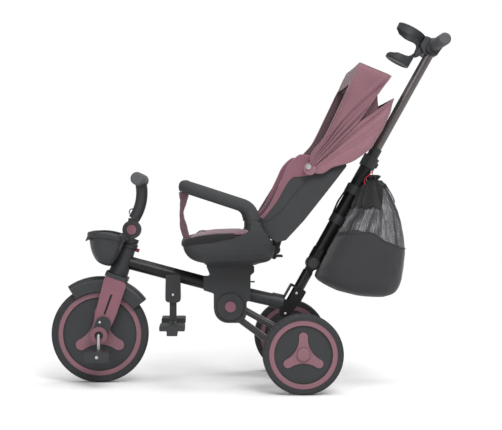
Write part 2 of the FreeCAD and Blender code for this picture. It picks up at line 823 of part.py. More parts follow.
def make_head():
    cone = Part.makeCone(HEAD_BOTTOM_R, HEAD_TOP_R, HEAD_TOP - HEAD_BOTTOM, vec(0, 0, HEAD_BOTTOM))
    bore = rod(vec(0, 0, HEAD_BOTTOM - OVERRUN), vec(0, 0, HEAD_TOP + OVERRUN), STEERER_R + RUNNING_GAP)
    head = steered(cone.cut(bore))
    tab_hole = steered(lock_tab(SEAT_GAP))
    tube = main_tube_blank(TUBE_R)
    boss = steered(basket_boss(BASKET_BOSS_R))
    add("head_tube", head.cut(tube).cut(tab_hole).cut(boss))
    add("steering_lock_tab", steered(lock_tab(0)))
    collar = rod(vec(0, 0, HEAD_TOP + SEAT_GAP), vec(0, 0, HEAD_TOP + SEAT_GAP + TOP_COLLAR_HIGH), TOP_COLLAR_R)
    room = disc(-BAR_HINGE_FRONT, BAR_HINGE_UP, BAR_KNUCKLE_R + SOFT_GAP, -BAR_CHEEK_Y, BAR_CHEEK_Y)
    cheeks = []
    cheek_low = -BAR_CHEEK_Y - BAR_CHEEK_THICK
    cheek = disc(-BAR_HINGE_FRONT, BAR_HINGE_UP, BAR_HINGE_R, cheek_low, -BAR_CHEEK_Y)
    button_hole = disc(-BAR_HINGE_FRONT, BAR_HINGE_UP, BAR_BUTTON_R + SEAT_GAP,
                       cheek_low - OVERRUN, -BAR_CHEEK_Y - BUTTON_LIP)
    pin_hole = disc(-BAR_HINGE_FRONT, BAR_HINGE_UP, BAR_PIN_R + RUNNING_GAP,
                    cheek_low - OVERRUN, -BAR_CHEEK_Y + OVERRUN)
    far_hole = disc(-BAR_HINGE_FRONT, BAR_HINGE_UP, BAR_PIN_R + RUNNING_GAP,
                    BAR_CHEEK_Y - OVERRUN, BAR_CHEEK_Y + BUTTON_LIP + SEAT_GAP)
    clevis_body = joined(collar.cut(room), cheek.cut(button_hole), mirrored(cheek))
    add("bar_clevis", steered(clevis_body.cut(pin_hole).cut(far_hole)))
    low = cheek_low - BAR_BUTTON_PROUD
    button = disc(-BAR_HINGE_FRONT, BAR_HINGE_UP, BAR_BUTTON_R,
                  low, -BAR_CHEEK_Y - BUTTON_LIP - BUTTON_TRAVEL - SEAT_GAP)
    add("bar_button", steered(button))


def lock_tab(gap):
    """The small lever behind the head tube's top."""
    low = LOCK_TAB_UP - LOCK_TAB_HIGH / 2 - gap
    high = LOCK_TAB_UP + LOCK_TAB_HIGH / 2 + gap
    half = LOCK_TAB_WIDE / 2 + gap
    inner = STEERER_R + FENDER_WALL + LOCK_TAB_TRAVEL - (LOCK_TAB_TRAVEL + gap if gap else 0)
    outer = inner + LOCK_TAB_LONG + (LOCK_TAB_TRAVEL + OVERRUN if gap else 0)
    return block(inner, outer, -half, half, low, high)


def basket_boss(radius):
    """The boss between the basket and the head tube, in the steering frame."""
    outer = HEAD_BOTTOM_R + BASKET_STANDOFF
    return rod(vec(-outer, 0, BASKET_BOSS_UP), vec(-STEERER_R - STEM_WALL, 0, BASKET_BOSS_UP), radius)


def main_tube_blank(radius):
    drop = math.tan(math.radians(MAIN_DROP))
    start = vec(MAIN_FRONT_X, 0, MAIN_AXIS_Z + (MAIN_AXIS_X - MAIN_FRONT_X) * drop)
    end = vec(MAIN_REAR_X, 0, MAIN_AXIS_Z + (MAIN_AXIS_X - MAIN_REAR_X) * drop)
    return rod(start, end, radius)


def strut_blank(radius):
    drop = math.tan(math.radians(STRUT_DROP))
    start = vec(STRUT_FRONT_X, 0, STRUT_AXIS_Z + (STRUT_AXIS_X - STRUT_FRONT_X) * drop)
    end = vec(STRUT_REAR_X, 0, STRUT_AXIS_Z + (STRUT_AXIS_X - STRUT_REAR_X) * drop)
    return rod(start, end, radius)


def make_frame_tubes():
    hollow = main_tube_blank(TUBE_R).cut(main_tube_blank(TUBE_R - TUBE_WALL))
    add("main_tube", hollow)
    strut = strut_blank(TUBE_R).cut(strut_blank(TUBE_R - TUBE_WALL))
    drop = math.tan(math.radians(STRUT_DROP))
    front_x = STRUT_REAR_X - SLEEVE_LONG
    start = vec(front_x, 0, STRUT_AXIS_Z + (STRUT_AXIS_X - front_x) * drop)
    end = vec(STRUT_REAR_X, 0, STRUT_AXIS_Z + (STRUT_AXIS_X - STRUT_REAR_X) * drop)
    sleeve = rod(start, end, SLEEVE_R).cut(strut_blank(TUBE_R))
    add("rear_strut", joined(strut, sleeve).cut(pushed(bracket_blank())))


def housing_outline():
    x = HOUSING_X
    top = HOUSING_TOP
    flange = top - HOUSING_FLANGE
    lobe_front = x - HOUSING_LOBE_R
    neck_front = x - HOUSING_NECK_FRONT
    main_low = FOLD_Z + HOUSING_LOBE_R * 0.8
    return [
        (x - HOUSING_TOP_FRONT, top, HOUSING_CORNER_R / 3),
        (neck_front, top - HOUSING_FLANGE * 1.8, HOUSING_CORNER_R),
        (x - HOUSING_TOP_FRONT - HOUSING_CORNER_R, top - HOUSING_FLANGE * 1.8, HOUSING_CORNER_R / 3),
        (x - HOUSING_TOP_FRONT - HOUSING_CORNER_R, FOLD_Z + HOUSING_LOBE_R, HOUSING_CORNER_R / 3),
        (lobe_front, main_low, HOUSING_CORNER_R),
        (lobe_front, FOLD_Z - HOUSING_LOBE_R, HOUSING_LOBE_R),
        (x + HOUSING_LOBE_R, FOLD_Z - HOUSING_LOBE_R, HOUSING_LOBE_R),
        (x + HOUSING_LOBE_R, FOLD_Z + HOUSING_CORNER_R * 2, HOUSING_CORNER_R),
        (x + HOUSING_BACK, FOLD_Z + HOUSING_CORNER_R * 2, HOUSING_CORNER_R / 3),
        (x + HOUSING_BACK, flange - HOUSING_FLANGE / 2, HOUSING_CORNER_R),
        (x + HOUSING_TOP_REAR, flange, HOUSING_CORNER_R / 3),
        (x + HOUSING_TOP_REAR, top, HOUSING_CORNER_R / 3),
    ]


def make_housing():
    """Two moulded halves that clamp the main tube, the strut and the seat's socket."""
    y = HOUSING_HALF_Y
    whole = slab(housing_outline(), -y, y)
    spigot_low = HOUSING_TOP - SPIGOT_DEEP
    cuts = [
        main_tube_blank(TUBE_R),
        strut_blank(TUBE_R),
        rod(vec(HOUSING_X, 0, spigot_low), vec(HOUSING_X, 0, HOUSING_TOP + OVERRUN), SPIGOT_R + RUNNING_GAP),
        block(HOUSING_X - HOUSING_TOP_FRONT - HOUSING_FLANGE, HOUSING_X + HOUSING_TOP_REAR,
              -SLOT_HALF_Y, SLOT_HALF_Y, FOLD_Z - HOUSING_LOBE_R - OVERRUN, FOLD_Z + SLOT_TOP_UP),
        disc(HOUSING_X, FOLD_Z, FOLD_PIN_R + RUNNING_GAP, -FOLD_PIN_HALF - SEAT_GAP, FOLD_PIN_HALF + SEAT_GAP),
        release_tab(SEAT_GAP),
    ]
    recess_end = -y + HUB_BUTTON_LONG - HUB_COVER_THICK + SEAT_GAP
    cuts.append(disc(HOUSING_X, FOLD_Z, HUB_BUTTON_R + SEAT_GAP, -y - OVERRUN, recess_end))
    for cut in cuts:
        whole = whole.cut(cut)
    span = HOUSING_TOP + HOUSING_LOBE_R
    near = block(0, WHEEL_BASE, -y - OVERRUN, 0, 0, span)
    far = block(0, WHEEL_BASE, 0, y + OVERRUN, 0, span)
    cover = disc(HOUSING_X, FOLD_Z, HUB_COVER_R, -y - HUB_COVER_THICK, -y)
    cover = cover.makeFillet(HUB_COVER_THICK / 3, [edge_at(cover, -y - HUB_COVER_THICK)])
    hole = disc(HOUSING_X, FOLD_Z, HUB_BUTTON_R + SEAT_GAP, -y - HUB_COVER_THICK - OVERRUN, -y + OVERRUN)
    add("housing_near", joined(whole.common(near), cover.cut(hole)))
    add("housing_far", joined(whole.common(far), mirrored(cover)))
    low = -y - HUB_COVER_THICK - BUTTON_TRAVEL
    add("hub_button", disc(HOUSING_X, FOLD_Z, HUB_BUTTON_R, low, low + HUB_BUTTON_LONG))
    add("seat_release_tab", release_tab(0))


def edge_at(shape, y):
    """The round edge of a disc at one Y."""
    rounds = [e for e in shape.Edges if len(e.Vertexes) == 1 and abs(e.CenterOfMass.y - y) < 1e-3]
    return rounds[0]


def release_tab(gap):
    """The flat tab under the seat; with a gap it is the pocket that the tab moves in."""
    rear = HOUSING_X + HOUSING_BACK
    high = HOUSING_TOP - RELEASE_TAB_DROP
    low = high - RELEASE_TAB_THICK - (RELEASE_TRAVEL + gap if gap else 0)
    half = RELEASE_TAB_WIDE / 2 + gap
    inner = rear - RELEASE_IN - gap
    outer = inner + RELEASE_TAB_LONG + gap
    return block(inner, outer, -half, half, low, high + gap / 10)


def fork_axis(start_up, drop):
    """Start point and direction of one rear fork tube, from the fold pin."""
    along = vec(math.cos(math.radians(drop)), 0, -math.sin(math.radians(drop)))
    across = vec(along.z, 0, -along.x) * -1
    return vec(HOUSING_X, 0, FOLD_Z) + across * start_up, along


def make_rear_fork():
    knuckle = disc(HOUSING_X, FOLD_Z, FOLD_KNUCKLE_R, -FOLD_KNUCKLE_HALF_Y, FOLD_KNUCKLE_HALF_Y)
    pin = disc(HOUSING_X, FOLD_Z, FOLD_PIN_R, -FOLD_PIN_HALF, FOLD_PIN_HALF)
    casting = casting_blank()
    tubes = []
    for up, drop in ((UPPER_START_UP, UPPER_DROP), (-LOWER_START_DOWN, LOWER_DROP)):
        start, along = fork_axis(up, drop)
        reach = (WHEEL_BASE - CASTING_FRONT / 2 - start.x) / along.x
        tube = pipe(start, start + along * reach, FORK_TUBE_R, FORK_TUBE_WALL)
        trimmed = tube.cut(knuckle).cut(casting)
        pieces = sorted(trimmed.Solids, key=lambda s: s.Volume)
        tubes.append(pieces[-1])
    add("rear_fork", joined(knuckle, pin, *tubes))
    axle_bore = disc(WHEEL_BASE, REAR_WHEEL_R, AXLE_R, -CASTING_HALF_Y - OVERRUN, CASTING_HALF_Y + OVERRUN)
    half = REAR_WHEEL_Y + REAR_WHEEL_W / 2 - WEB_INSET
    add("rear_axle", disc(WHEEL_BASE, REAR_WHEEL_R, AXLE_R, -half, half))
    beam_end = REAR_WHEEL_Y - REAR_WHEEL_W / 2 - BEAM_END_GAP
    beam = disc(WHEEL_BASE, REAR_WHEEL_R, BEAM_R, -beam_end, -CASTING_HALF_Y)
    beam = beam.cut(disc(WHEEL_BASE, REAR_WHEEL_R, AXLE_R, -beam_end - OVERRUN, -CASTING_HALF_Y + OVERRUN))
    add("axle_housing", joined(casting.cut(axle_bore), *both_sides(beam)))


def casting_blank():
    """The block on the rear axle that both fork tubes plug into."""
    x = WHEEL_BASE
    z = REAR_WHEEL_R
    points = [
        (x + CASTING_REAR, z - CASTING_R, CASTING_R),
        (x + CASTING_REAR, z + CASTING_R, CASTING_R),
        (x - CASTING_FRONT, z + CASTING_R * 2.1, CASTING_R / 2),
        (x - CASTING_FRONT * 1.25, z - CASTING_R, CASTING_R / 2),
    ]
    return slab(points, -CASTING_HALF_Y, CASTING_HALF_Y)


def make_rear_wheels():
    size = (REAR_WHEEL_R, REAR_RING_R, REAR_RING_INNER_R, REAR_WHEEL_W,
            REAR_LOBE_REACH, REAR_LOBE_TIP_R, REAR_LOBE_WAIST_R)
    for side, name in ((-1, "rear_near"), (1, "rear_far")):
        wheel(WHEEL_BASE, side * REAR_WHEEL_Y, REAR_WHEEL_R, size, name, AXLE_R + RUNNING_GAP, SPOKE_TURN)
    axle_end = REAR_WHEEL_Y + REAR_WHEEL_W / 2 - WEB_INSET
    hub_top = REAR_WHEEL_Y + REAR_WHEEL_W / 2 - HUB_INSET
    plug = disc(WHEEL_BASE, REAR_WHEEL_R, HUB_R, axle_end + SEAT_GAP, hub_top)
    plug.translate(vec(SHIFT_X, 0, 0))
    NODES["rear_far_disc"] = joined(NODES["rear_far_disc"], plug)
    NODES["rear_near_disc"] = joined(NODES["rear_near_disc"], mirrored(plug))


def make_footrest():
    drop = math.tan(math.radians(MAIN_DROP))
    x = FOOT_X
    z = FOOT_Z
    top_z = MAIN_AXIS_Z + (MAIN_AXIS_X - x) * drop
    points = [
        (x - FOOT_BRACKET_HALF_X, top_z),
        (x - FOOT_BRACKET_R, z, 0),
        (x - FOOT_BRACKET_R, z - FOOT_BRACKET_R, FOOT_BRACKET_R),
        (x + FOOT_BRACKET_R, z - FOOT_BRACKET_R, FOOT_BRACKET_R),
        (x + FOOT_BRACKET_R, z, 0),
        (x + FOOT_BRACKET_HALF_X, top_z),
    ]
    y = FOOT_BRACKET_HALF_Y
    bracket = slab(points, -y, y).cut(main_tube_blank(TUBE_R))
    room_y = FOOT_KNUCKLE_HALF_Y + SOFT_GAP
    reach = FOOT_LONG + FOOT_BRACKET_R
    room = joined(disc(x, z, FOOT_KNUCKLE_R + SOFT_GAP * 2, -room_y, room_y),
                  block(x - FOOT_STRUT_HALF - SOFT_GAP * 2, x + reach, -room_y, room_y, z - reach, z))
    bracket = sorted(bracket.cut(room).Solids, key=lambda s: s.BoundBox.ZMin)[0]
    head = RIVET_R + RIVET_HEAD
    rivet = joined(disc(x, z, RIVET_R, -y, y), disc(x, z, head, -y - RIVET_HEAD, -y),
                   disc(x, z, head, y, y + RIVET_HEAD))
    add("footrest_bracket", joined(bracket, rivet))
    knuckle = disc(x, z, FOOT_KNUCKLE_R, -FOOT_KNUCKLE_HALF_Y, FOOT_KNUCKLE_HALF_Y)
    strut = block(x - FOOT_STRUT_HALF, x + FOOT_STRUT_HALF, -FOOT_KNUCKLE_HALF_Y, FOOT_KNUCKLE_HALF_Y,
                  z - FOOT_LONG, z)
    pad_z = z - FOOT_LONG
    cross = disc(x, pad_z, FOOT_CROSS_R, -FOOT_PAD_INNER_Y, FOOT_PAD_INNER_Y)
    arm_bore = disc(x, z, RIVET_R + RUNNING_GAP, -y, y)
    core_y = FOOT_PAD_INNER_Y + FOOT_PAD_WIDE / 2
    core = disc(x, pad_z, FOOT_PAD_THICK / 3, -core_y, core_y)
    add("footrest_arm", joined(knuckle, strut, cross, core).cut(arm_bore))
    half_x = FOOT_PAD_LONG / 2
    half_z = FOOT_PAD_THICK / 2
    stub = FOOT_STUB_LONG / 2
    pad_points = [
        (x - half_x, pad_z + half_z, half_z / 2),
        (x - half_x, pad_z - half_z, half_z / 2),
        (x - stub, pad_z - half_z, half_z / 3),
        (x - stub, pad_z - half_z - FOOT_STUB_DEEP, half_z / 3),
        (x + stub, pad_z - half_z - FOOT_STUB_DEEP, half_z / 3),
        (x + stub, pad_z - half_z, half_z / 3),
        (x + half_x, pad_z - half_z, half_z / 2),
        (x + half_x, pad_z + half_z, half_z / 2),
    ]
    pad = slab(pad_points, -FOOT_PAD_INNER_Y - FOOT_PAD_WIDE, -FOOT_PAD_INNER_Y).cut(core)
    add("footrest_pads", *both_sides(pad))


def basket_shape(inset, low_extra, top_extra):
    """The basket's body as a loft of level sections whose rear follows the head tube."""
    tilt = math.tan(math.radians(STEER_LEAN))
    depth = BASKET_TOP_Z - BASKET_BOTTOM_Z
    rear_at_low = (BASKET_BOTTOM_Z - FRONT_WHEEL_R) * tilt - STEER_AHEAD
    rear_at_low -= (HEAD_BOTTOM_R + BASKET_STANDOFF) / math.cos(math.radians(STEER_LEAN))
    rows = []
    for share, front_share, half_share in BASKET_SHARES:
        rows.append((share, BASKET_TOP_FRONT * front_share, BASKET_TOP_HALF_Y * half_share))
    sections = []
    for share, front, half_y in rows:
        z = BASKET_BOTTOM_Z + share * depth
        if share == 0:
            z += low_extra
        if share == 1:
            z += top_extra
        rear = rear_at_low + share * depth * tilt
        corner = BASKET_CORNER_R - inset
        sections.append(level(rear - front + inset, rear - inset, half_y - inset, z, corner))
    return loft(sections)


def make_basket():
    """The basket is one moulding, with a thick band round its mouth."""
    outer = basket_shape(0, 0, 0)
    band_low = BASKET_TOP_Z - BASKET_BAND
    band = basket_shape(-BASKET_RIM, 0, 0).common(
        block(-BASKET_TOP_FRONT * 2, BASKET_TOP_FRONT * 2, -BASKET_TOP_HALF_Y * 2,
              BASKET_TOP_HALF_Y * 2, band_low, BASKET_TOP_Z))
    behind = steered(block(-HEAD_BOTTOM_R - BASKET_STANDOFF + SEAT_GAP, BASKET_TOP_FRONT,
                           -BASKET_TOP_HALF_Y * 2, BASKET_TOP_HALF_Y * 2, 0, BASKET_TOP_Z))
    inner = basket_shape(BASKET_WALL, BASKET_WALL, OVERRUN)
    turning = steered(rod(vec(0, 0, HEAD_TOP), vec(0, 0, BAR_HINGE_UP + BAR_HINGE_R), BASKET_NOTCH_R))
    body = joined(outer, band).cut(inner).cut(behind).cut(turning)
    add("basket", joined(body, steered(basket_boss(BASKET_BOSS_R))))


def hinge_point():
    """The handlebar's fold pin, in X and Z."""
    s = math.sin(math.radians(STEER_LEAN))
    c = math.cos(math.radians(STEER_LEAN))
    x = -STEER_AHEAD + BAR_HINGE_UP * s - BAR_HINGE_FRONT * c
    z = FRONT_WHEEL_R + BAR_HINGE_UP * c + BAR_HINGE_FRONT * s
    return x, z


def make_handlebar():
    x, z = hinge_point()
    start = vec(x + STEM_START_BACK, 0, z + STEM_NECK)
    end = vec(x + STEM_LEAN_BACK, 0, z + STEM_RISE)
    chord = end - start
    bow = vec(chord.z, 0, -chord.x).normalize() * STEM_BOW
    arc = Part.Arc(start, start + chord * 0.5 + bow, end).toShape()
    tangent = arc.tangentAt(arc.FirstParameter)
    outer = Part.Wire(arc).makePipeShell([Part.Wire(Part.makeCircle(STEM_R, start, tangent))], True, True)
    knuckle = disc(x, z, BAR_KNUCKLE_R, -BAR_CHEEK_Y + SOFT_GAP, BAR_CHEEK_Y - SOFT_GAP)
    neck_half = BAR_KNUCKLE_R * 0.6
    neck = slab([
        (x - neck_half, z),
        (x + neck_half, z),
        (start.x + neck_half, start.z + OVERRUN),
        (start.x - neck_half, start.z + OVERRUN),
    ], -BAR_CHEEK_Y + SOFT_GAP, BAR_CHEEK_Y - SOFT_GAP)
    sleeve = disc(end.x, end.z, T_SLEEVE_R, -GRIP_INNER_Y, GRIP_INNER_Y)
    pin_half = BAR_CHEEK_Y + BUTTON_LIP
    pin = disc(x, z, BAR_PIN_R, -pin_half, pin_half)
    tube = disc(end.x, end.z, BAR_TUBE_R, -BAR_HALF_LENGTH + STEM_WALL, BAR_HALF_LENGTH - STEM_WALL)
    grip = disc(end.x, end.z, GRIP_R, -BAR_HALF_LENGTH, -GRIP_INNER_Y)
    grip = grip.makeFillet(GRIP_R / 3, [edge_at(grip, -BAR_HALF_LENGTH)])
    grip = grip.cut(tube)
    add("handlebar_grips", *both_sides(grip))
    hook_z = z + HOOK_UP
    hook = Part.makeTorus(HOOK_R, HOOK_WIRE_R, vec(start.x + STEM_BOW - STEM_R, 0, hook_z), vec(0, 1, 0))
    add("handlebar_stem", joined(outer, knuckle, neck, sleeve, pin, tube, hook))


def bracket_blank():
    """Outline of the rear bracket's cheeks in the push bar's frame."""
    points = [
        (BRACKET_REAR, -RIVET_1_DOWN + BRACKET_UP, BRACKET_CORNER_R),
        (BRACKET_REAR, -RIVET_1_DOWN - BRACKET_STEP_DOWN, BRACKET_CORNER_R),
        (BRACKET_LOW_R, -RIVET_2_DOWN, BRACKET_CORNER_R * 3),
        (BRACKET_LOW_R, -RIVET_2_DOWN - BRACKET_DOWN, BRACKET_LOW_R),
        (-BRACKET_LOW_R, -RIVET_2_DOWN - BRACKET_DOWN, BRACKET_LOW_R),
        (-BRACKET_STRIP, -RIVET_1_DOWN - BRACKET_STEP_DOWN * 2.6, BRACKET_CORNER_R),
        (-BRACKET_STRIP, -RIVET_1_DOWN + BRACKET_UP, BRACKET_CORNER_R),
    ]
    y = BASE_R + SEAT_GAP + BRACKET_PLATE
    return slab(points, -y, y)


def make_bracket():
    """Two cheeks and a front strip, with an open slot between strip and tube."""
    y = BASE_R + SEAT_GAP + BRACKET_PLATE
    low = -RIVET_2_DOWN - BRACKET_DOWN - OVERRUN
    high = -RIVET_1_DOWN + BRACKET_UP + OVERRUN
    strip_in = BRACKET_STRIP - BRACKET_STRIP_THICK
    room = block(-strip_in, BRACKET_REAR + OVERRUN, -y + BRACKET_PLATE, y - BRACKET_PLATE, low, high)
    slot = slab([
        (-strip_in, -RIVET_1_DOWN + BRACKET_UP - BRACKET_CORNER_R * 1.5, BRACKET_CORNER_R / 2),
        (-strip_in, -RIVET_1_DOWN - BRACKET_STEP_DOWN * 2, BRACKET_CORNER_R / 2),
        (-BRACKET_FRONT, -RIVET_1_DOWN - BRACKET_STEP_DOWN * 2, BRACKET_CORNER_R / 2),
        (-BRACKET_FRONT, -RIVET_1_DOWN + BRACKET_UP - BRACKET_CORNER_R * 1.5, BRACKET_CORNER_R / 2),
    ], -y - OVERRUN, y + OVERRUN)
    bracket = bracket_blank().cut(room).cut(slot)
    head = RIVET_R + RIVET_HEAD
    rivets = []
    for down in (RIVET_1_DOWN, RIVET_2_DOWN):
        bore = disc(0, -down, RIVET_R, -y - OVERRUN, y + OVERRUN)
        bracket = bracket.cut(bore)
        rivets.append(joined(disc(0, -down, RIVET_R, -y, y),
                             disc(0, -down, head, -y - RIVET_HEAD, -y),
                             disc(0, -down, head, y, y + RIVET_HEAD)))
    add("push_bracket", pushed(joined(bracket, *rivets)))
    base_low = -RIVET_2_DOWN - BRACKET_DOWN / 2
    base = pipe(vec(0, 0, base_low), vec(0, 0, -BASE_TOP_DOWN), BASE_R, BASE_WALL)
    plug = rod(vec(0, 0, -BASE_TOP_DOWN - PUSH_CLEVIS_R), vec(0, 0, -BASE_TOP_DOWN), BASE_R - BASE_WALL)
    tongue = joined(disc(0, 0, PUSH_TONGUE_R, -PUSH_TONGUE_HALF_Y, PUSH_TONGUE_HALF_Y),
                    block(-PUSH_TONGUE_R * 0.8, PUSH_TONGUE_R * 0.8, -PUSH_TONGUE_HALF_Y,
                          PUSH_TONGUE_HALF_Y, -BASE_TOP_DOWN, 0), plug)
    for rivet in rivets:
        base = base.cut(rivet)
    pin_bore = disc(0, 0, PUSH_PIN_R + RUNNING_GAP, -PUSH_CLEVIS_HALF_Y, PUSH_CLEVIS_HALF_Y)
    add("push_base_tube", pushed(joined(base, tongue).cut(pin_bore)))


def clevis():
    """The push bar's lower end: two cheeks about the tongue, closed above it."""
    y = PUSH_CLEVIS_HALF_Y
    body = joined(disc(0, 0, PUSH_CLEVIS_R, -y, y),
                  rod(vec(0, 0, 0), vec(0, 0, OUTER_START + PUSH_CLEVIS_R), PUSH_CLEVIS_R).common(
                      block(-PUSH_CLEVIS_R, PUSH_CLEVIS_R, -y, y, 0, OUTER_START + PUSH_CLEVIS_R)))
    room_y = PUSH_TONGUE_HALF_Y + PUSH_CLEVIS_GAP
    room = joined(disc(0, 0, PUSH_TONGUE_R + SOFT_GAP, -room_y, room_y),
                  block(-PUSH_CLEVIS_R * 2, PUSH_CLEVIS_R * 2, -room_y, room_y, -PUSH_CLEVIS_R * 2, 0),
                  block(-PUSH_CLEVIS_R * 2, 0, -room_y, room_y, -PUSH_CLEVIS_R, PUSH_TONGUE_R))
    return body.cut(room)


def make_push_bar():
    tube = pipe(vec(0, 0, OUTER_START), vec(0, 0, OUTER_END), OUTER_R, OUTER_R - INNER_R - RUNNING_GAP)
    pin = disc(0, 0, PUSH_PIN_R, -PUSH_CLEVIS_HALF_Y, PUSH_CLEVIS_HALF_Y)
    outer_blank = rod(vec(0, 0, OUTER_START), vec(0, 0, OUTER_END), OUTER_R)
    knob_low = -PUSH_CLEVIS_HALF_Y - PUSH_KNOB_THICK
    knob = disc(0, 0, PUSH_KNOB_R, knob_low, -PUSH_CLEVIS_HALF_Y)
    knob = knob.makeFillet(PUSH_KNOB_THICK / 3, [edge_at(knob, knob_low)])
    add("push_fold_pin", pushed(joined(pin, *both_sides(knob))))
    button_r = CLAMP_BUTTON_R + SEAT_GAP
    mid = (CLAMP_LOW + CLAMP_HIGH) / 2
    button_in = INNER_R + RUNNING_GAP + CLAMP_BUTTON_TRAVEL + SEAT_GAP
    button_hole = rod(vec(button_in - CLAMP_BUTTON_TRAVEL, 0, mid), vec(CLAMP_R + OVERRUN, 0, mid), button_r)
    clamp = joined(rod(vec(0, 0, CLAMP_LOW), vec(0, 0, CLAMP_HIGH), CLAMP_R),
                   rod(vec(0, 0, CLAMP_HIGH), vec(0, 0, TOP_SLEEVE_HIGH), TOP_SLEEVE_R))
    clamp = clamp.cut(outer_blank)
    clamp = clamp.cut(rod(vec(0, 0, OUTER_END), vec(0, 0, TOP_SLEEVE_HIGH + OVERRUN), INNER_R + RUNNING_GAP))
    clamp = clamp.cut(button_hole)
    lower_end = clevis().cut(pin).cut(outer_blank)
    add("push_outer_tube", pushed(joined(tube.cut(button_hole), lower_end)))
    add("tube_clamp", pushed(clamp))
    button = rod(vec(button_in, 0, mid), vec(button_in + CLAMP_BUTTON_LONG, 0, mid), CLAMP_BUTTON_R)
    add("clamp_button", pushed(button))
    collars = []
    for low, high, radius in ((STRAP_COLLAR_LOW, STRAP_COLLAR_HIGH, STRAP_COLLAR_R),
                              (SMALL_CLIP_LOW, SMALL_CLIP_HIGH, SMALL_CLIP_R)):
        collars.append(rod(vec(0, 0, low), vec(0, 0, high), radius).cut(outer_blank))
    add("bar_collars", *[pushed(c) for c in collars])


def make_handle():
    """What slides in the push bar: inner tube, head, grips and cup holder."""
    inner = pipe(vec(0, 0, INNER_START), vec(0, 0, INNER_END), INNER_R, INNER_WALL)
    inner_blank = rod(vec(0, 0, INNER_START), vec(0, 0, INNER_END), INNER_R)
    add("push_inner_tube", pushed(inner))
    cross = disc(0, HANDLE_UP, HANDLE_TUBE_R, -HANDLE_HALF_LENGTH + STEM_WALL, HANDLE_HALF_LENGTH - STEM_WALL)
    body = joined(rod(vec(0, 0, HEAD_CAST_LOW), vec(0, 0, HANDLE_UP), HEAD_CAST_R),
                  disc(0, HANDLE_UP, HEAD_CAST_R, -HANDLE_GRIP_INNER_Y, HANDLE_GRIP_INNER_Y))
    clamp = rod(vec(0, 0, CUP_CLAMP_LOW), vec(0, 0, CUP_CLAMP_HIGH), HEAD_CAST_R + CUP_RING_WALL)
    add("handle_head", pushed(joined(body, cross).cut(inner_blank)))
    grip = disc(0, HANDLE_UP, HANDLE_GRIP_R, -HANDLE_HALF_LENGTH, -HANDLE_GRIP_INNER_Y)
    grip = grip.makeFillet(HANDLE_GRIP_R / 3, [edge_at(grip, -HANDLE_HALF_LENGTH)])
    add("handle_grips", *[pushed(s) for s in both_sides(grip.cut(cross))])
    add("cup_holder", pushed(cup_holder(clamp)))


def cup_holder(clamp):
    """An open ring over a shallow tray, joined by a spine that clips round the handle head."""
    ring = rod(vec(-CUP_OUT, 0, CUP_RING_LOW), vec(-CUP_OUT, 0, CUP_RING_HIGH), CUP_RING_R)
    ring_hole = rod(vec(-CUP_OUT, 0, CUP_RING_LOW - OVERRUN),
                    vec(-CUP_OUT, 0, CUP_RING_HIGH + OVERRUN), CUP_RING_R - CUP_RING_WALL)
    tray = rod(vec(-CUP_TRAY_OUT, 0, CUP_TRAY_LOW), vec(-CUP_TRAY_OUT, 0, CUP_TRAY_HIGH), CUP_TRAY_R)
    tray_hole = rod(vec(-CUP_TRAY_OUT, 0, CUP_TRAY_LOW + CUP_TRAY_FLOOR),
                    vec(-CUP_TRAY_OUT, 0, CUP_TRAY_HIGH + OVERRUN), CUP_TRAY_R - CUP_RING_WALL)
    spine_near = -HEAD_CAST_R
    spine_far = -(CUP_OUT - CUP_RING_R + CUP_RING_WALL)
    spine = block(spine_far, spine_near, -CUP_NECK_HALF_Y, CUP_NECK_HALF_Y, CUP_CLAMP_LOW, CUP_CLAMP_HIGH)
    post_far = -(CUP_OUT - CUP_RING_R + CUP_RING_WALL)
    post = block(post_far, post_far + CUP_NECK_THICK, -CUP_NECK_HALF_Y, CUP_NECK_HALF_Y,
                 CUP_TRAY_LOW + CUP_TRAY_FLOOR, CUP_RING_HIGH - CUP_RING_WALL)
    body = joined(ring, tray, spine, post, clamp)
    head_blank = rod(vec(0, 0, HEAD_CAST_LOW - OVERRUN), vec(0, 0, HANDLE_UP), HEAD_CAST_R)
    body = body.cut(ring_hole).cut(tray_hole).cut(head_blank)
    return sorted(body.Solids, key=lambda s: s.Volume)[-1]


def bag_front(z):
    """Where the bag's front meets the push bar at a height."""
    tilt = math.tan(math.radians(PUSH_LEAN))
    off = (OUTER_R + BAG_FRONT_GAP) / math.cos(math.radians(PUSH_LEAN))
    return PUSH_FOLD_X + (z - PUSH_FOLD_Z) * tilt + off


def bag_section(z, rear, half_y, corner, inset, front=None):
    low = bag_front(z) if front is None else front
    return level(low + inset, rear - inset, half_y - inset, z, corner)


def bag_rows():
    """Levels of the bag's lower part: height, front, rear and half width, rounded at the bottom."""
    rows = []
    deep = BAG_TURN_Z - BAG_LOW_Z
    for share, draw_share in BAG_BOTTOM_SHARES:
        draw = BAG_BOTTOM_DRAW * draw_share
        rows.append((BAG_LOW_Z + deep * share, BAG_TURN_FRONT_X + draw,
                     BAG_REAR_X - BAG_FRONT_GAP - draw, BAG_HALF_Y - draw / 2))
    middle = (BAG_TURN_Z + BAG_SEAM_Z) / 2
    rows.append((middle, bag_front(middle), BAG_REAR_X, BAG_HALF_Y))
    return rows


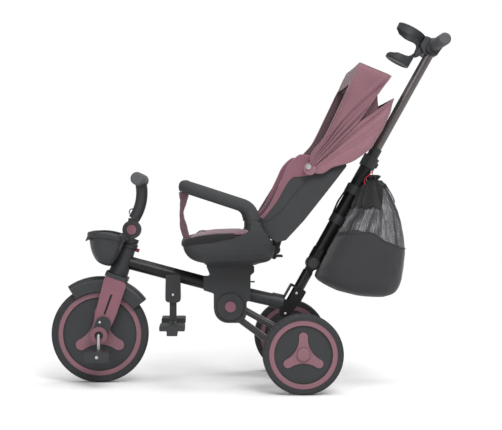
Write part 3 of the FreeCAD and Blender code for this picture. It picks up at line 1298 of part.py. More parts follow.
def make_bag():
    """A bag of cloth below and mesh above, tied at its neck; both parts are one hollow skin."""
    def lower(inset):
        rows = [(z + (inset if i == 0 else 0), a, b, half) for i, (z, a, b, half) in enumerate(bag_rows())]
        sections = [level(a + inset, b - inset, half - inset, z, BAG_CORNER_R) for z, a, b, half in rows]
        return loft(sections + [bag_section(BAG_SEAM_Z, BAG_REAR_X, BAG_HALF_Y, BAG_CORNER_R, inset)])

    def upper(inset):
        return loft([
            bag_section(BAG_SEAM_Z, BAG_REAR_X, BAG_HALF_Y, BAG_CORNER_R, inset),
            bag_section(BAG_MID_Z, BAG_MID_REAR_X, BAG_MID_HALF_Y, BAG_CORNER_R, inset),
            bag_section(BAG_NECK_Z, bag_front(BAG_NECK_Z) + BAG_NECK_LONG, BAG_NECK_HALF_Y,
                        BAG_NECK_CORNER_R, inset),
        ])

    add("bag_bottom", lower(0).cut(lower(BAG_WALL)))
    front = bag_front(BAG_NECK_Z + BAG_KNOT_HIGH)
    neck = level(front, front + BAG_NECK_LONG, BAG_NECK_HALF_Y, BAG_NECK_Z, BAG_NECK_CORNER_R)
    knot = Part.Face(neck).extrude(vec(0, 0, BAG_KNOT_HIGH))
    add("bag_mesh", joined(upper(0).cut(upper(BAG_WALL)), knot))


def shell_levels(inset, extra):
    z0 = HOUSING_TOP + TURNTABLE_HIGH
    return [
        level(SHELL_LOW_FRONT_X + inset, SHELL_LOW_REAR_X - inset, SHELL_LOW_HALF_Y - inset,
              z0 + inset, SHELL_CORNER_R),
        level(SHELL_2_FRONT_X + inset, SHELL_2_REAR_X - inset, SHELL_2_HALF_Y - inset,
              z0 + SHELL_LEVEL_2 + inset / 2, SHELL_CORNER_R),
        level(SHELL_3_FRONT_X + inset, SHELL_3_REAR_X - inset, SHELL_3_HALF_Y - inset,
              z0 + SHELL_LEVEL_3, SHELL_CORNER_R),
        level(SHELL_FRONT_X + inset, SHELL_REAR_X - inset, SEAT_HALF_Y - inset,
              z0 + SHELL_LEVEL_4, SHELL_CORNER_R),
        level(SHELL_FRONT_X + inset, SHELL_REAR_X - inset, SEAT_HALF_Y - inset,
              z0 + SHELL_TOP + extra, SHELL_CORNER_R),
    ]


def make_seat():
    z0 = HOUSING_TOP
    spigot = rod(vec(HOUSING_X, 0, z0 - SPIGOT_DEEP + OVERRUN), vec(HOUSING_X, 0, z0), SPIGOT_R)
    plate = level(HOUSING_X - TURNTABLE_HALF_X, HOUSING_X + TURNTABLE_HALF_X, TURNTABLE_HALF_Y, z0,
                  HOUSING_CORNER_R)
    plate = Part.Face(plate).extrude(vec(0, 0, TURNTABLE_HIGH))
    mount = joined(spigot, plate)
    shell = loft(shell_levels(0, 0))
    shell = shell.cut(loft(shell_levels(SHELL_WALL, OVERRUN)))
    post = armrest()
    bore = rod(vec(POST_X, -POST_Y, POST_TOP - POST_BORE_DEEP), vec(POST_X, -POST_Y, POST_TOP + OVERRUN),
               LEG_R + RUNNING_GAP)
    post = post.cut(bore)
    lugs = []
    lever_x = RECLINE_X - LEVER_AHEAD
    lever_z = RECLINE_Z - LEVER_DOWN
    for low in (RECLINE_LUG_Y - RECLINE_LUG_THICK / 2 - RECLINE_EAR_THICK - SOFT_GAP,
                RECLINE_LUG_Y + RECLINE_LUG_THICK / 2 + SOFT_GAP):
        high = low + RECLINE_EAR_THICK
        ear = joined(disc(RECLINE_X, RECLINE_Z, RECLINE_LUG_R, low, high),
                     disc(lever_x, lever_z, LEVER_EAR_R, low, high),
                     block(SHELL_2_REAR_X - RECLINE_LUG_R, RECLINE_X, low, high,
                           lever_z - LEVER_PIN_R, RECLINE_Z + RECLINE_LUG_R))
        lugs.extend(both_sides(ear))
    lever_hole = disc(lever_x, lever_z, LEVER_PIN_R + RUNNING_GAP, -SEAT_HALF_Y, SEAT_HALF_Y)
    hole = disc(RECLINE_X, RECLINE_Z, RECLINE_PIN_R + RUNNING_GAP, -SEAT_HALF_Y, SEAT_HALF_Y)
    inner = loft(shell_levels(SHELL_WALL, OVERRUN))
    back_room = block(POST_X + POST_HALF_X, RECLINE_X + POST_X, -BACK_HALF_Y - OVERRUN, BACK_HALF_Y + OVERRUN,
                      RECLINE_Z + RECLINE_LUG_R, POST_TOP)
    for side in (-1, 1):
        middle = side * RECLINE_LUG_Y
        half = RECLINE_LUG_THICK / 2 + SOFT_GAP
        lug_room = block(RECLINE_X - RECLINE_LUG_R - LUG_ROOM, RECLINE_X + POST_X, middle - half, middle + half,
                         RECLINE_Z - RECLINE_LUG_R - LUG_ROOM, POST_TOP)
        shell = shell.cut(lug_room)
    shell = joined(shell, *lugs).cut(inner).cut(back_room).cut(hole).cut(lever_hole)
    shell = joined(shell.cut(post).cut(mirrored(post)), mount)
    add("seat_shell", sorted(shell.Solids, key=lambda s: s.Volume)[-1])
    add("armrest_posts", *both_sides(post))
    add("seat_cushion", seat_cushion())
    inner_ear = RECLINE_LUG_Y - RECLINE_LUG_THICK / 2 - RECLINE_EAR_THICK - SOFT_GAP
    barrel_y = inner_ear - SOFT_GAP
    pin_y = inner_ear + RECLINE_EAR_THICK
    paddle = block(lever_x, lever_x + LEVER_LONG, -LEVER_HALF_Y, LEVER_HALF_Y,
                   lever_z - LEVER_THICK / 2, lever_z + LEVER_THICK / 2)
    lever = joined(disc(lever_x, lever_z, LEVER_EAR_R - SOFT_GAP, -barrel_y, barrel_y), paddle,
                   disc(lever_x, lever_z, LEVER_PIN_R, -pin_y, pin_y))
    add("recline_lever", lever)


def armrest():
    """The side of the seat that rises at the rear into the foot of the safety bar."""
    foot = HOUSING_TOP + SHELL_LEVEL_3
    points = [
        (POST_X - POST_HALF_X * 2, foot, POST_CORNER_R),
        (POST_X + POST_FOOT_REAR, foot, POST_CORNER_R),
        (POST_X + POST_FOOT_REAR, foot + POST_RISE / 2, POST_CORNER_R * 3),
        (POST_X + POST_HALF_X + POST_CORNER_R, POST_TOP - POST_RISE / 4, POST_CORNER_R * 3),
        (POST_X + POST_HALF_X, POST_TOP, POST_CORNER_R / 4),
        (POST_X - POST_HALF_X, POST_TOP, POST_CORNER_R / 4),
        (POST_X - POST_HALF_X, foot + POST_RISE + POST_CORNER_R, POST_CORNER_R * 2),
        (POST_X - POST_RIM_FRONT, foot + POST_RIM_UP, POST_CORNER_R / 4),
        (POST_X - POST_HALF_X * 2, foot + POST_RIM_UP / 2, POST_CORNER_R),
    ]
    side = slab(points, -POST_Y - POST_HALF_Y, -POST_Y + POST_HALF_Y)
    long_edges = [e for e in side.Edges if abs(e.BoundBox.YLength) < RUNNING_GAP
                  and e.BoundBox.ZMax < POST_TOP - RUNNING_GAP]
    for share in ARMREST_ROUND_SHARES:
        try:
            return side.makeFillet(POST_CORNER_R * share, long_edges)
        except Exception:
            print("armrest edges: the round of share", share, "failed")
    return side


def seat_cushion():
    """A crowned pad in the shell: upright sides below the rim, and a soft dome above it."""
    z0 = HOUSING_TOP + TURNTABLE_HIGH
    top = z0 + SHELL_TOP
    inset = SHELL_WALL + SOFT_GAP
    front = SHELL_3_FRONT_X + inset
    rear = CUSHION_REAR_X
    half = SHELL_3_HALF_Y - inset
    low = CUSHION_SEAT_Z + inset
    base = Part.Face(level(front, rear, half, low, CUSHION_CORNER_R)).extrude(vec(0, 0, top - low))
    sections = []
    for degrees in CUSHION_DOME_DEGREES:
        a = math.radians(degrees)
        draw = CUSHION_ROLL * (1 - math.cos(a))
        sections.append(level(front + draw, rear - draw / 2, half - draw, top + CUSHION_CROWN * math.sin(a),
                              CUSHION_CORNER_R))
    return joined(base, loft(sections))


def bar_wire():
    """Centre line of the safety bar: two legs, two rising rails and the round front."""
    rise = math.radians(RAIL_RISE)
    half_y = POST_Y
    along = vec(-math.cos(rise), 0, math.sin(rise))
    turn = math.radians(90) - rise
    setback = RAIL_BEND_R * math.tan(turn / 2)
    corner = vec(POST_X, -half_y, LEG_TOP + setback)
    leg_top = vec(POST_X, -half_y, LEG_TOP)
    rail_start = corner + along * setback
    centre = vec(POST_X - RAIL_BEND_R, -half_y, LEG_TOP)
    middle_way = (corner - centre).normalize()
    bend_mid = centre + middle_way * RAIL_BEND_R
    front_reach = (POST_X - BAR_FRONT_X) / math.cos(rise)
    front = corner + along * front_reach
    plan_start = front - along * BAR_PLAN_R
    plan_end = front + vec(0, BAR_PLAN_R, 0)
    plan_centre = plan_start + vec(0, BAR_PLAN_R, 0)
    out = (along - vec(0, 1, 0)).normalize()
    plan_mid = plan_centre + out * BAR_PLAN_R
    edges = [
        Part.Arc(leg_top, bend_mid, rail_start).toShape(),
        Part.makeLine(rail_start, plan_start),
        Part.Arc(plan_start, plan_mid, plan_end).toShape(),
    ]
    other = [e.mirror(vec(0, 0, 0), vec(0, 1, 0)) for e in edges]
    joint = Part.makeLine(plan_end, vec(plan_end.x, -plan_end.y, plan_end.z))
    ordered = Part.__sortEdges__(edges + [joint] + other)
    return Part.Wire(ordered), leg_top, front


def make_safety_bar():
    path, leg_top, front = bar_wire()
    profile = Part.Wire(Part.makeCircle(FOAM_R, leg_top, vec(0, 0, 1)))
    foam = path.makePipeShell([profile], True, False)
    leg_low = POST_TOP - POST_BORE_DEEP + OVERRUN
    leg = rod(vec(POST_X, -POST_Y, leg_low), leg_top, LEG_R)
    cap = rod(vec(POST_X, -POST_Y, POST_TOP + SOFT_GAP), leg_top, FOAM_R - OVERRUN / 2)
    add("safety_bar", joined(foam, *both_sides(joined(leg, cap))))
    inner = FOAM_R
    outer = FOAM_R + STRAP_THICK
    half = STRAP_WIDE / 2
    loop = disc(front.x, front.z, outer, -half, half).cut(disc(front.x, front.z, inner, -half, half))
    low = vec(STRAP_LOW_X, 0, STRAP_LOW_Z)
    tail_top_z = front.z - inner
    tail = slab([
        (front.x - STRAP_THICK / 2, tail_top_z),
        (front.x + STRAP_THICK / 2, tail_top_z),
        (low.x + STRAP_THICK / 2, low.z),
        (low.x - STRAP_THICK / 2, low.z),
    ], -half, half)
    bar_blank = disc(front.x, front.z, inner, -half, half)
    add("crotch_strap", joined(loop, tail).cut(bar_blank))
    return front


def make_backrest():
    """A bucket: a rear wall with two side wings, carried by two lugs on the recline pins."""
    outline = [
        (0, 0, WING_CORNER_R / 2),
        (-WING_LOW_FRONT / 2, 0, WING_CORNER_R),
        (-WING_LOW_FRONT, WING_LOW * 1.3, WING_CORNER_R),
        (-WING_MID_FRONT, WING_MID, WING_CORNER_R * 4),
        (-WING_TOP_FRONT, WING_TOP, WING_CORNER_R),
        (-WING_END_FRONT, WING_END, WING_CORNER_R),
        (-BACK_TOP_FRONT, BACK_HIGH, WING_CORNER_R),
        (0, BACK_HIGH, WING_CORNER_R / 2),
        (BACK_BULGE / 2, WING_TOP, WING_CORNER_R * 5),
        (BACK_BULGE, BACK_HIGH / 3, WING_CORNER_R * 5),
        (BACK_BULGE, WING_LOW, WING_CORNER_R / 2),
    ]
    y = BACK_HALF_Y
    outer = slab(outline, -y, y)
    inner = slab([
        (-BACK_WALL, -OVERRUN),
        (-WING_TOP_FRONT * 2, -OVERRUN),
        (-WING_TOP_FRONT * 2, BACK_HIGH + OVERRUN),
        (-BACK_WALL, BACK_HIGH + OVERRUN),
    ], -y + BACK_WALL, y - BACK_WALL)
    shell = reclined(outer.cut(inner))
    lugs = []
    low = RECLINE_LUG_Y - RECLINE_LUG_THICK / 2
    high = low + RECLINE_LUG_THICK
    lug = joined(disc(RECLINE_X, RECLINE_Z, RECLINE_LUG_R, low, high),
                 capsule_middle(RECLINE_X, RECLINE_Z, BACK_X + BACK_BULGE, BACK_Z + BACK_BULGE,
                                RECLINE_LUG_R * 0.7, low, high))
    lugs = both_sides(lug)
    pin_half = RECLINE_LUG_THICK / 2 + SOFT_GAP + RECLINE_EAR_THICK
    pin = disc(RECLINE_X, RECLINE_Z, RECLINE_PIN_R, RECLINE_LUG_Y - pin_half, RECLINE_LUG_Y + pin_half)
    pins = both_sides(pin)
    hole = disc(HOOD_X, HOOD_Z, HOOD_PIN_R, -SEAT_HALF_Y * 2, SEAT_HALF_Y * 2)
    shell = joined(shell, *lugs, *pins).cut(hole)
    add("backrest_shell", sorted(shell.Solids, key=lambda s: s.Volume)[-1])
    add("back_pad", reclined(back_pad()))


def back_pad():
    """The padded lining on the rear wall, rounded over at its edges."""
    half = BACK_HALF_Y - BACK_WALL - SOFT_GAP
    front = -BACK_WALL - SOFT_GAP
    pad = block(front - PAD_THICK, front, -half, half, PAD_END, BACK_HIGH - PAD_END * 3)
    face_edges = [e for e in pad.Edges if e.BoundBox.XMax < front - PAD_THICK / 2]
    return pad.makeFillet(PAD_EDGE_R, face_edges)


def hood_point(share):
    return HOOD_X + HOOD_R * share[0], HOOD_Z + HOOD_R * share[1]


def hood_panel(side_shares, band_shares, shift_x, shift_z, half_y):
    """Two cloth sides that meet the pivot, and the band of cloth that joins them across the top."""
    side = slab([hood_point(s) for s in side_shares], -half_y, -half_y + HOOD_CLOTH)
    outer = [hood_point(s) for s in band_shares]
    inner = [(x + shift_x, z + shift_z) for x, z in reversed(outer)]
    band = slab(outer + inner, -half_y, half_y)
    eye = disc(HOOD_X, HOOD_Z, HOOD_EYE_R, -half_y, -half_y + HOOD_CLOTH)
    return joined(side, mirrored(side), band, eye, mirrored(eye))


def make_hood():
    pin_hole = disc(HOOD_X, HOOD_Z, HOOD_PIN_R + RUNNING_GAP, -HOOD_FRONT_HALF_Y * 2, HOOD_FRONT_HALF_Y * 2)
    thick = HOOD_CLOTH * 1.25
    front = hood_panel(FRONT_SIDE_SHARES, FRONT_BAND_SHARES, thick, -thick, HOOD_FRONT_HALF_Y)
    rear = hood_panel(REAR_SIDE_SHARES, REAR_BAND_SHARES, -thick, 0, HOOD_REAR_HALF_Y)
    add("hood_front", front.cut(pin_hole))
    add("hood_rear", rear.cut(pin_hole))
    inner_y = BACK_HALF_Y - BACK_WALL
    outer_y = HOOD_FRONT_HALF_Y
    pin = disc(HOOD_X, HOOD_Z, HOOD_PIN_R, -outer_y - SOFT_GAP, -inner_y)
    head = disc(HOOD_X, HOOD_Z, HOOD_SNAP_R, -outer_y - SOFT_GAP - HOOD_SNAP_THICK, -outer_y - SOFT_GAP)
    spacer_low = -HOOD_REAR_HALF_Y + HOOD_CLOTH + SOFT_GAP
    spacer = disc(HOOD_X, HOOD_Z, HOOD_SNAP_R, spacer_low, -BACK_HALF_Y)
    add("hood_snaps", *both_sides(joined(pin, head, spacer)))


def cord(points, radius, name):
    """A round cord of straight runs joined by tangent arcs; prints its bend radii and length."""
    edges = []
    here = points[0]
    radii = []
    for i in range(1, len(points) - 1):
        before = points[i - 1] - points[i]
        after = points[i + 1] - points[i]
        turn = math.pi - before.getAngle(after)
        shorter = min(before.Length, after.Length)
        bend = 0.45 * shorter / math.tan(turn / 2)
        radii.append(bend)
        setback = 0.45 * shorter
        start = points[i] + before.normalize() * setback
        end = points[i] + after.normalize() * setback
        toward = (before + after).normalize()
        middle = points[i] + toward * (bend / math.cos(turn / 2) - bend)
        edges.append(Part.makeLine(here, start))
        edges.append(Part.Arc(start, middle, end).toShape())
        here = end
    edges.append(Part.makeLine(here, points[-1]))
    path = Part.Wire(edges)
    profile = Part.Wire(Part.makeCircle(radius, points[0], points[1] - points[0]))
    tube = path.makePipeShell([profile], True, False)
    expected = math.pi * radius * radius * path.Length
    radii_text = ", ".join("%.1f" % r for r in radii)
    print(name, "length %.1f mm, bend radii %s, volume ratio %.4f"
          % (path.Length, radii_text, tube.Volume / expected))
    return tube


def make_cords():
    """Two short cords held along the push bar's front, between the collar and the clip."""
    tubes = []
    for side in (-1, 1):
        y = side * OUTER_R / 2
        top = STRAP_COLLAR_LOW
        low = SMALL_CLIP_HIGH
        front = -OUTER_R - CORD_R * 2
        mid = (top + low) / 2
        points = [
            vec(front + CORD_R, y, top),
            vec(front, y, top - (top - low) / 4),
            vec(front - CORD_R, y * 1.2, mid),
            vec(front, y, low + (top - low) / 4),
            vec(front + CORD_R, y, low),
        ]
        tubes.append(pushed(cord(points, CORD_R, "push bar cord")))
    add("push_bar_cords", *tubes)


def main():
    os.makedirs("parts", exist_ok=True)
    make_front_wheel()
    make_fork()
    make_fender()
    make_head()
    make_frame_tubes()
    make_housing()
    make_rear_fork()
    make_rear_wheels()
    make_footrest()
    make_basket()
    make_handlebar()
    make_bracket()
    make_push_bar()
    make_handle()
    make_bag()
    make_seat()
    make_safety_bar()
    make_backrest()
    make_hood()
    make_cords()
    for name, shape in NODES.items():
        if not shape.isValid():
            print("not valid:", name)
        shape.exportStep("parts/" + name + ".step")
    print(len(NODES), "nodes")


if __name__ == "__main__":
    main()
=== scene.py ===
"""Folding tricycle with a push bar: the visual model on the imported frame.

Lengths in the sizes below are millimetres in the tricycle's side plane, with X measured
rearwards from the front axle, Y to the far side and Z up from the floor. at() turns them
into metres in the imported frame.
"""

import json
import logging
from collections.abc import Callable, Sequence
from dataclasses import dataclass
from enum import Enum
from math import copysign, cos, exp, pi, radians, sin, sqrt, tan, tau

import bmesh
import bpy
from bpy.types import Material, Node, NodeSocket, Object
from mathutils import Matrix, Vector, noise

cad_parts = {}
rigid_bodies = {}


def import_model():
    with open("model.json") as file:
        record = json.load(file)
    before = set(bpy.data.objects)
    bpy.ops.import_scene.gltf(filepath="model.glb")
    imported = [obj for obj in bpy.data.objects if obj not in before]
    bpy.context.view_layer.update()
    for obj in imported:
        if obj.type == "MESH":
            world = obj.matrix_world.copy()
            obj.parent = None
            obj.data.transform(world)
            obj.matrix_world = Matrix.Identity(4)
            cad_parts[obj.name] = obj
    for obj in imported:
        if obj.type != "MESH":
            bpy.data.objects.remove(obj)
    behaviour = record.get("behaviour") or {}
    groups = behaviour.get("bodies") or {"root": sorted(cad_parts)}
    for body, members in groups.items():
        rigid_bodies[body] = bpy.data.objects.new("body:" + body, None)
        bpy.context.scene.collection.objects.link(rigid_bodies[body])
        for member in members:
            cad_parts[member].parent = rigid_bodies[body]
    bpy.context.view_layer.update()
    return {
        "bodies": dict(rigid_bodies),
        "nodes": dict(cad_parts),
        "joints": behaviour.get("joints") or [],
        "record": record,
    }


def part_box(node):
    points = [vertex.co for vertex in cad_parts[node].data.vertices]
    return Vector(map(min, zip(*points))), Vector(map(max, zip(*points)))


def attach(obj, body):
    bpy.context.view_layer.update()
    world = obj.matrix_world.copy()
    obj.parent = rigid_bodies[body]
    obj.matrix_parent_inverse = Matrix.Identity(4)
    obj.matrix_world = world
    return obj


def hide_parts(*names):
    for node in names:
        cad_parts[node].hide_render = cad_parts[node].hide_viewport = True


LOG = logging.getLogger("tricycle")
SHIFT_X = -378.5
PER_METRE = 1000.0
UV_NAME = "cut"
FRONT_WHEEL_R = 125.5
REAR_WHEEL_R = 98.0
REAR_AXLE_X = 508.0
REAR_WHEEL_Y = 220.0
STEER_X = -10.0
STEER_LEAN = radians(20.0)
BAR_X = 551.6
BAR_Z = 308.2
BAR_LEAN = radians(29.2)
WHITE = (1.0, 1.0, 1.0, 1.0)
SIDES = ((-1, "near"), (1, "far"))
JOIN = 1e-6


def at(x: float, y: float, z: float) -> Vector:
    """A point of the side-plane frame in metres.

    Args:
        x, y, z: millimetres from the front axle, the middle plane and the floor.

    Returns:
        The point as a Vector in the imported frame.
    """
    return Vector(((x + SHIFT_X) / PER_METRE, y / PER_METRE, z / PER_METRE))


def mm(value: float) -> float:
    """Millimetres as metres."""
    return value / PER_METRE


def add(name: str, data: bpy.types.ID) -> Object:
    """Makes an object and links it to the scene.

    Args:
        name: the object's name.
        data: its mesh, curve, lamp or camera data.

    Returns:
        The object.
    """
    obj = bpy.data.objects.new(name, data)
    bpy.context.scene.collection.objects.link(obj)
    return obj


def smooth_step(value: float) -> float:
    """A value held between 0 and 1 and eased at both ends."""
    value = min(1.0, max(0.0, value))
    return value * value * (3.0 - 2.0 * value)


def spline(points: Sequence, count: int) -> list[Vector]:
    """A smooth line through points, as evenly counted samples.

    Args:
        points: two or more tuples or Vectors of one size.
        count: the number of samples.

    Returns:
        A list of Vectors that starts and ends on the first and last point.
    """
    line = [Vector(p) for p in points]
    line = [line[0] * 2 - line[1]] + line + [line[-1] * 2 - line[-2]]
    spans = len(points) - 1
    samples = []
    for i in range(count):
        place = spans * i / (count - 1)
        k = min(spans - 1, int(place))
        t = place - k
        a, b, c, d = line[k:k + 4]
        samples.append(0.5 * (2 * b + (c - a) * t + (2 * a - 5 * b + 4 * c - d) * t * t
                              + (3 * b - a - 3 * c + d) * t * t * t))
    return samples


def length_of(points: Sequence) -> float:
    """The length of the straight runs between points."""
    return sum((b - a).length for a, b in zip(points, points[1:]))


def even(points: Sequence, count: int) -> list[Vector]:
    """Points along a line of straight runs, evenly spaced by length.

    Args:
        points: the points of the line.
        count: the number of samples.

    Returns:
        The samples, as Vectors.
    """
    line = [Vector(p) for p in points]
    lengths = [0.0]
    for a, b in zip(line, line[1:]):
        lengths.append(lengths[-1] + (b - a).length)
    samples = []
    k = 0
    for i in range(count):
        target = lengths[-1] * i / (count - 1)
        while k < len(line) - 2 and lengths[k + 1] < target:
            k += 1
        span = max(lengths[k + 1] - lengths[k], 1e-9)
        samples.append(line[k].lerp(line[k + 1], (target - lengths[k]) / span))
    return samples


# Materials


class Sock:
    """An output socket with arithmetic that makes Math nodes."""

    def __init__(self, graph: "Graph", socket: NodeSocket) -> None:
        """Keeps the graph and the socket."""
        self.graph = graph
        self.socket = socket

    def _math(self, kind: str, *values: "Sock | float") -> "Sock":
        """Adds a Math node and gives its output."""
        node = self.graph.node("ShaderNodeMath", {"operation": kind}, dict(enumerate(values)))
        return Sock(self.graph, node.outputs[0])

    def __add__(self, other: "Sock | float") -> "Sock":
        """The sum."""
        return self._math("ADD", self, other)

    __radd__ = __add__

    def __sub__(self, other: "Sock | float") -> "Sock":
        """The difference."""
        return self._math("SUBTRACT", self, other)

    def __rsub__(self, other: "Sock | float") -> "Sock":
        """The difference, the other way round."""
        return self._math("SUBTRACT", other, self)

    def __mul__(self, other: "Sock | float") -> "Sock":
        """The product."""
        return self._math("MULTIPLY", self, other)

    __rmul__ = __mul__

    def __truediv__(self, other: "Sock | float") -> "Sock":
        """The quotient."""
        return self._math("DIVIDE", self, other)

    def sine(self) -> "Sock":
        """The sine of an angle in radians."""
        return self._math("SINE", self)

    def size(self) -> "Sock":
        """The value without its sign."""
        return self._math("ABSOLUTE", self)

    def fraction(self) -> "Sock":
        """What is left above the whole number."""
        return self._math("FRACT", self)

    def root(self) -> "Sock":
        """The square root."""
        return self._math("SQRT", self)

    def angle(self, other: "Sock | float") -> "Sock":
        """The angle whose tangent is this value over the other."""
        return self._math("ARCTAN2", self, other)

    def above(self, other: "Sock | float") -> "Sock":
        """1 where the value is larger, else 0."""
        return self._math("GREATER_THAN", self, other)

    def below(self, other: "Sock | float") -> "Sock":
        """1 where the value is smaller, else 0."""
        return self._math("LESS_THAN", self, other)

    def larger(self, other: "Sock | float") -> "Sock":
        """The larger of two values."""
        return self._math("MAXIMUM", self, other)

    def band(self, low: float, high: float) -> "Sock":
        """1 between low and high with soft ends, else 0."""
        node = self.graph.node("ShaderNodeMapRange", {"interpolation_type": "SMOOTHSTEP", "clamp": True},
                               {"Value": self, "From Min": low, "From Max": high, "To Min": 0.0,
                                "To Max": 1.0})
        return Sock(self.graph, node.outputs[0])


class Graph:
    """The nodes of one material round a Principled shader."""

    gloss = 0.35

    def __init__(self, name: str) -> None:
        """Makes the material and finds its shader and output.

        Args:
            name: the material's name.
        """
        self.material = bpy.data.materials.new(name)
        self.material.use_nodes = True
        self.tree = self.material.node_tree
        self.shader = self.tree.nodes["Principled BSDF"]
        self.output = self.tree.nodes["Material Output"]

    def node(self, kind: str, settings: dict | None = None, values: dict | None = None) -> Node:
        """Makes a node, sets its settings, then its socket values or links.

        Args:
            kind: the node's type.
            settings: the node's settings.
            values: the sockets' values or links.

        Returns:
            The node.
        """
        node = self.tree.nodes.new(kind)
        for key, value in (settings or {}).items():
            setattr(node, key, value)
        for key, value in (values or {}).items():
            self.feed(node.inputs[key], value)
        return node

    def feed(self, socket: NodeSocket, value: object) -> None:
        """Links a Sock to a socket, or sets a plain value on it.

        Args:
            socket: the input.
            value: a Sock or a plain value.
        """
        if isinstance(value, Sock):
            self.tree.links.new(value.socket, socket)
        else:
            socket.default_value = value

    def set(self, **values: object) -> Material:
        """Sets Principled inputs; underscores in names stand for blanks.

        Returns:
            The material.
        """
        self.shader.inputs["Specular IOR Level"].default_value = self.gloss
        for key, value in values.items():
            self.feed(self.shader.inputs[key.replace("_", " ")], value)
        return self.material

    def place(self) -> Sock:
        """Object coordinates in metres."""
        return Sock(self, self.node("ShaderNodeTexCoord").outputs["Object"])

    def cut(self) -> Sock:
        """The sheet's own flat coordinates in metres."""
        return Sock(self, self.node("ShaderNodeUVMap", {"uv_map": UV_NAME}).outputs["UV"])

    def axes(self, vector: Sock) -> list[Sock]:
        """The three parts of a vector."""
        node = self.node("ShaderNodeSeparateXYZ", None, {0: vector})
        return [Sock(self, out) for out in node.outputs]

    def noise(self, vector: Sock, scale: float, detail: float = 2.0, rough: float = 0.5) -> Sock:
        """Soft cloudy noise from 0 to 1."""
        node = self.node("ShaderNodeTexNoise", None,
                         {"Vector": vector, "Scale": scale, "Detail": detail, "Roughness": rough})
        return Sock(self, node.outputs[0])

    def cells(self, vector: Sock, scale: float) -> Sock:
        """The distance to the nearest cell's middle."""
        node = self.node("ShaderNodeTexVoronoi", None, {"Vector": vector, "Scale": scale})
        return Sock(self, node.outputs["Distance"])

    def mix(self, factor: Sock | float, low: Sock | tuple, high: Sock | tuple) -> Sock:
        """A colour between two colours by a factor.

        Args:
            factor: the share of the second colour.
            low: the colour at 0.
            high: the colour at 1.

        Returns:
            The mixed colour.
        """
        node = self.node("ShaderNodeMix", {"data_type": "RGBA", "clamp_factor": True})
        self.feed(node.inputs[0], factor)
        self.feed(node.inputs[6], low)
        self.feed(node.inputs[7], high)
        return Sock(self, node.outputs[2])

    def bump(self, height: Sock, distance: float, strength: float = 1.0) -> Sock:
        """A normal that follows a height pattern."""
        node = self.node("ShaderNodeBump", None,
                         {"Height": height, "Distance": mm(distance), "Strength": strength})
        return Sock(self, node.outputs[0])


def linear(red: int, green: int, blue: int, gain: float = 1.0) -> tuple:
    """A colour from 0 to 255 per channel as linear RGBA.

    Args:
        red: red from 0 to 255.
        green: green from 0 to 255.
        blue: blue from 0 to 255.
        gain: what the linear values are multiplied by.

    Returns:
        The colour as red, green, blue and alpha.
    """
    def one(value: int) -> float:
        """One channel as a linear value."""
        value = value / 255.0
        value = value / 12.92 if value <= 0.04045 else ((value + 0.055) / 1.055) ** 2.4
        return min(1.0, value * gain)
    return (one(red), one(green), one(blue), 1.0)


class Tone(Enum):
    """The tricycle's colours, seen under plain light."""
    DARK = (43, 44, 46)
    PINK = (116, 76, 87)
    TRIM = (120, 84, 93)
    BLACK = (26, 26, 28)
    GREY = (62, 60, 61)
    TUBE = (104, 99, 99)
    SILVER = (190, 190, 192)
    TYRE = (42, 43, 45)
    FOAM = (52, 53, 55)
    GRIP = (76, 77, 79)
    SEAT = (112, 82, 91)
    PAD = (118, 78, 90)
    HOOD = (132, 94, 103)
    INSIDE = (84, 66, 70)
    BAG = (46, 45, 48)
    NET = (56, 56, 60)
    CORD = (26, 26, 28)
    # The hood's tone made darker for the front panel, as painted shade.
    HOOD_FRONT_SHADED = (118, 83, 92)
    LOCK = (104, 24, 42)
    RED = (196, 44, 60)

    def colour(self, gain: float = 1.0) -> tuple:
        """The colour as linear RGBA, made lighter or darker by gain."""
        return linear(*self.value, gain=gain)


@dataclass(frozen=True)
class Plastic:
    """Moulded plastic with a fine grain, faint flow marks and a few scuffs."""
    tone: Tone
    roughness: float = 0.48
    grain: float = 0.06
    grain_scale: float = 900.0
    variation: float = 0.18

    def make(self, name: str) -> Material:
        """Makes the moulded plastic.

        Args:
            name: the material's name.

        Returns:
            The material.
        """
        g = Graph(name)
        p = g.place()
        cloud = g.noise(p, 14.0, 3.0)
        scuff = g.noise(p, 160.0, 4.0, 0.7).band(0.62, 0.72)
        colour = g.mix(cloud, self.tone.colour(1.0 - self.variation), self.tone.colour(1.0 + self.variation))
        colour = g.mix(scuff * 0.16, colour, self.tone.colour(1.9))
        colour = self.paint(g, p, colour)
        fine = g.noise(p, self.grain_scale, 2.0)
        rough = self.roughness + (cloud - 0.5) * 0.12 + scuff * 0.12
        return g.set(Base_Color=colour, Roughness=rough, Normal=g.bump(fine, self.grain, 0.6), IOR=1.49)

    def paint(self, g: Graph, place: Sock, colour: Sock) -> Sock:
        """Puts a second colour on part of the piece; plain pieces have none."""
        return colour


@dataclass(frozen=True)
class ForkPlastic(Plastic):
    """The fork legs' plastic, with painted shade on the floor of their slot."""
    rear: float = 4.0
    up: float = 85.0
    half_wide: float = 2.7
    half_long: float = 27.2

    def paint(self, g: Graph, place: Sock, colour: Sock) -> Sock:
        """Paints shade on the slot's floor as a near-black stripe.

        Args:
            g: the material's nodes.
            place: the Object coordinates.
            colour: the colour so far.

        Returns:
            The new colour.
        """
        x, _, z = g.axes(place)
        x = x - mm(STEER_X + SHIFT_X)
        z = z - mm(FRONT_WHEEL_R)
        c, s = cos(STEER_LEAN), sin(STEER_LEAN)
        across = (x * c - z * s - mm(self.rear)).size().below(mm(self.half_wide))
        along = (x * s + z * c - mm(self.up)).size().below(mm(self.half_long))
        # Painted shade: the slot's floor is darkened to near black.
        return g.mix(across * along, colour, Tone.BLACK.colour(0.6))


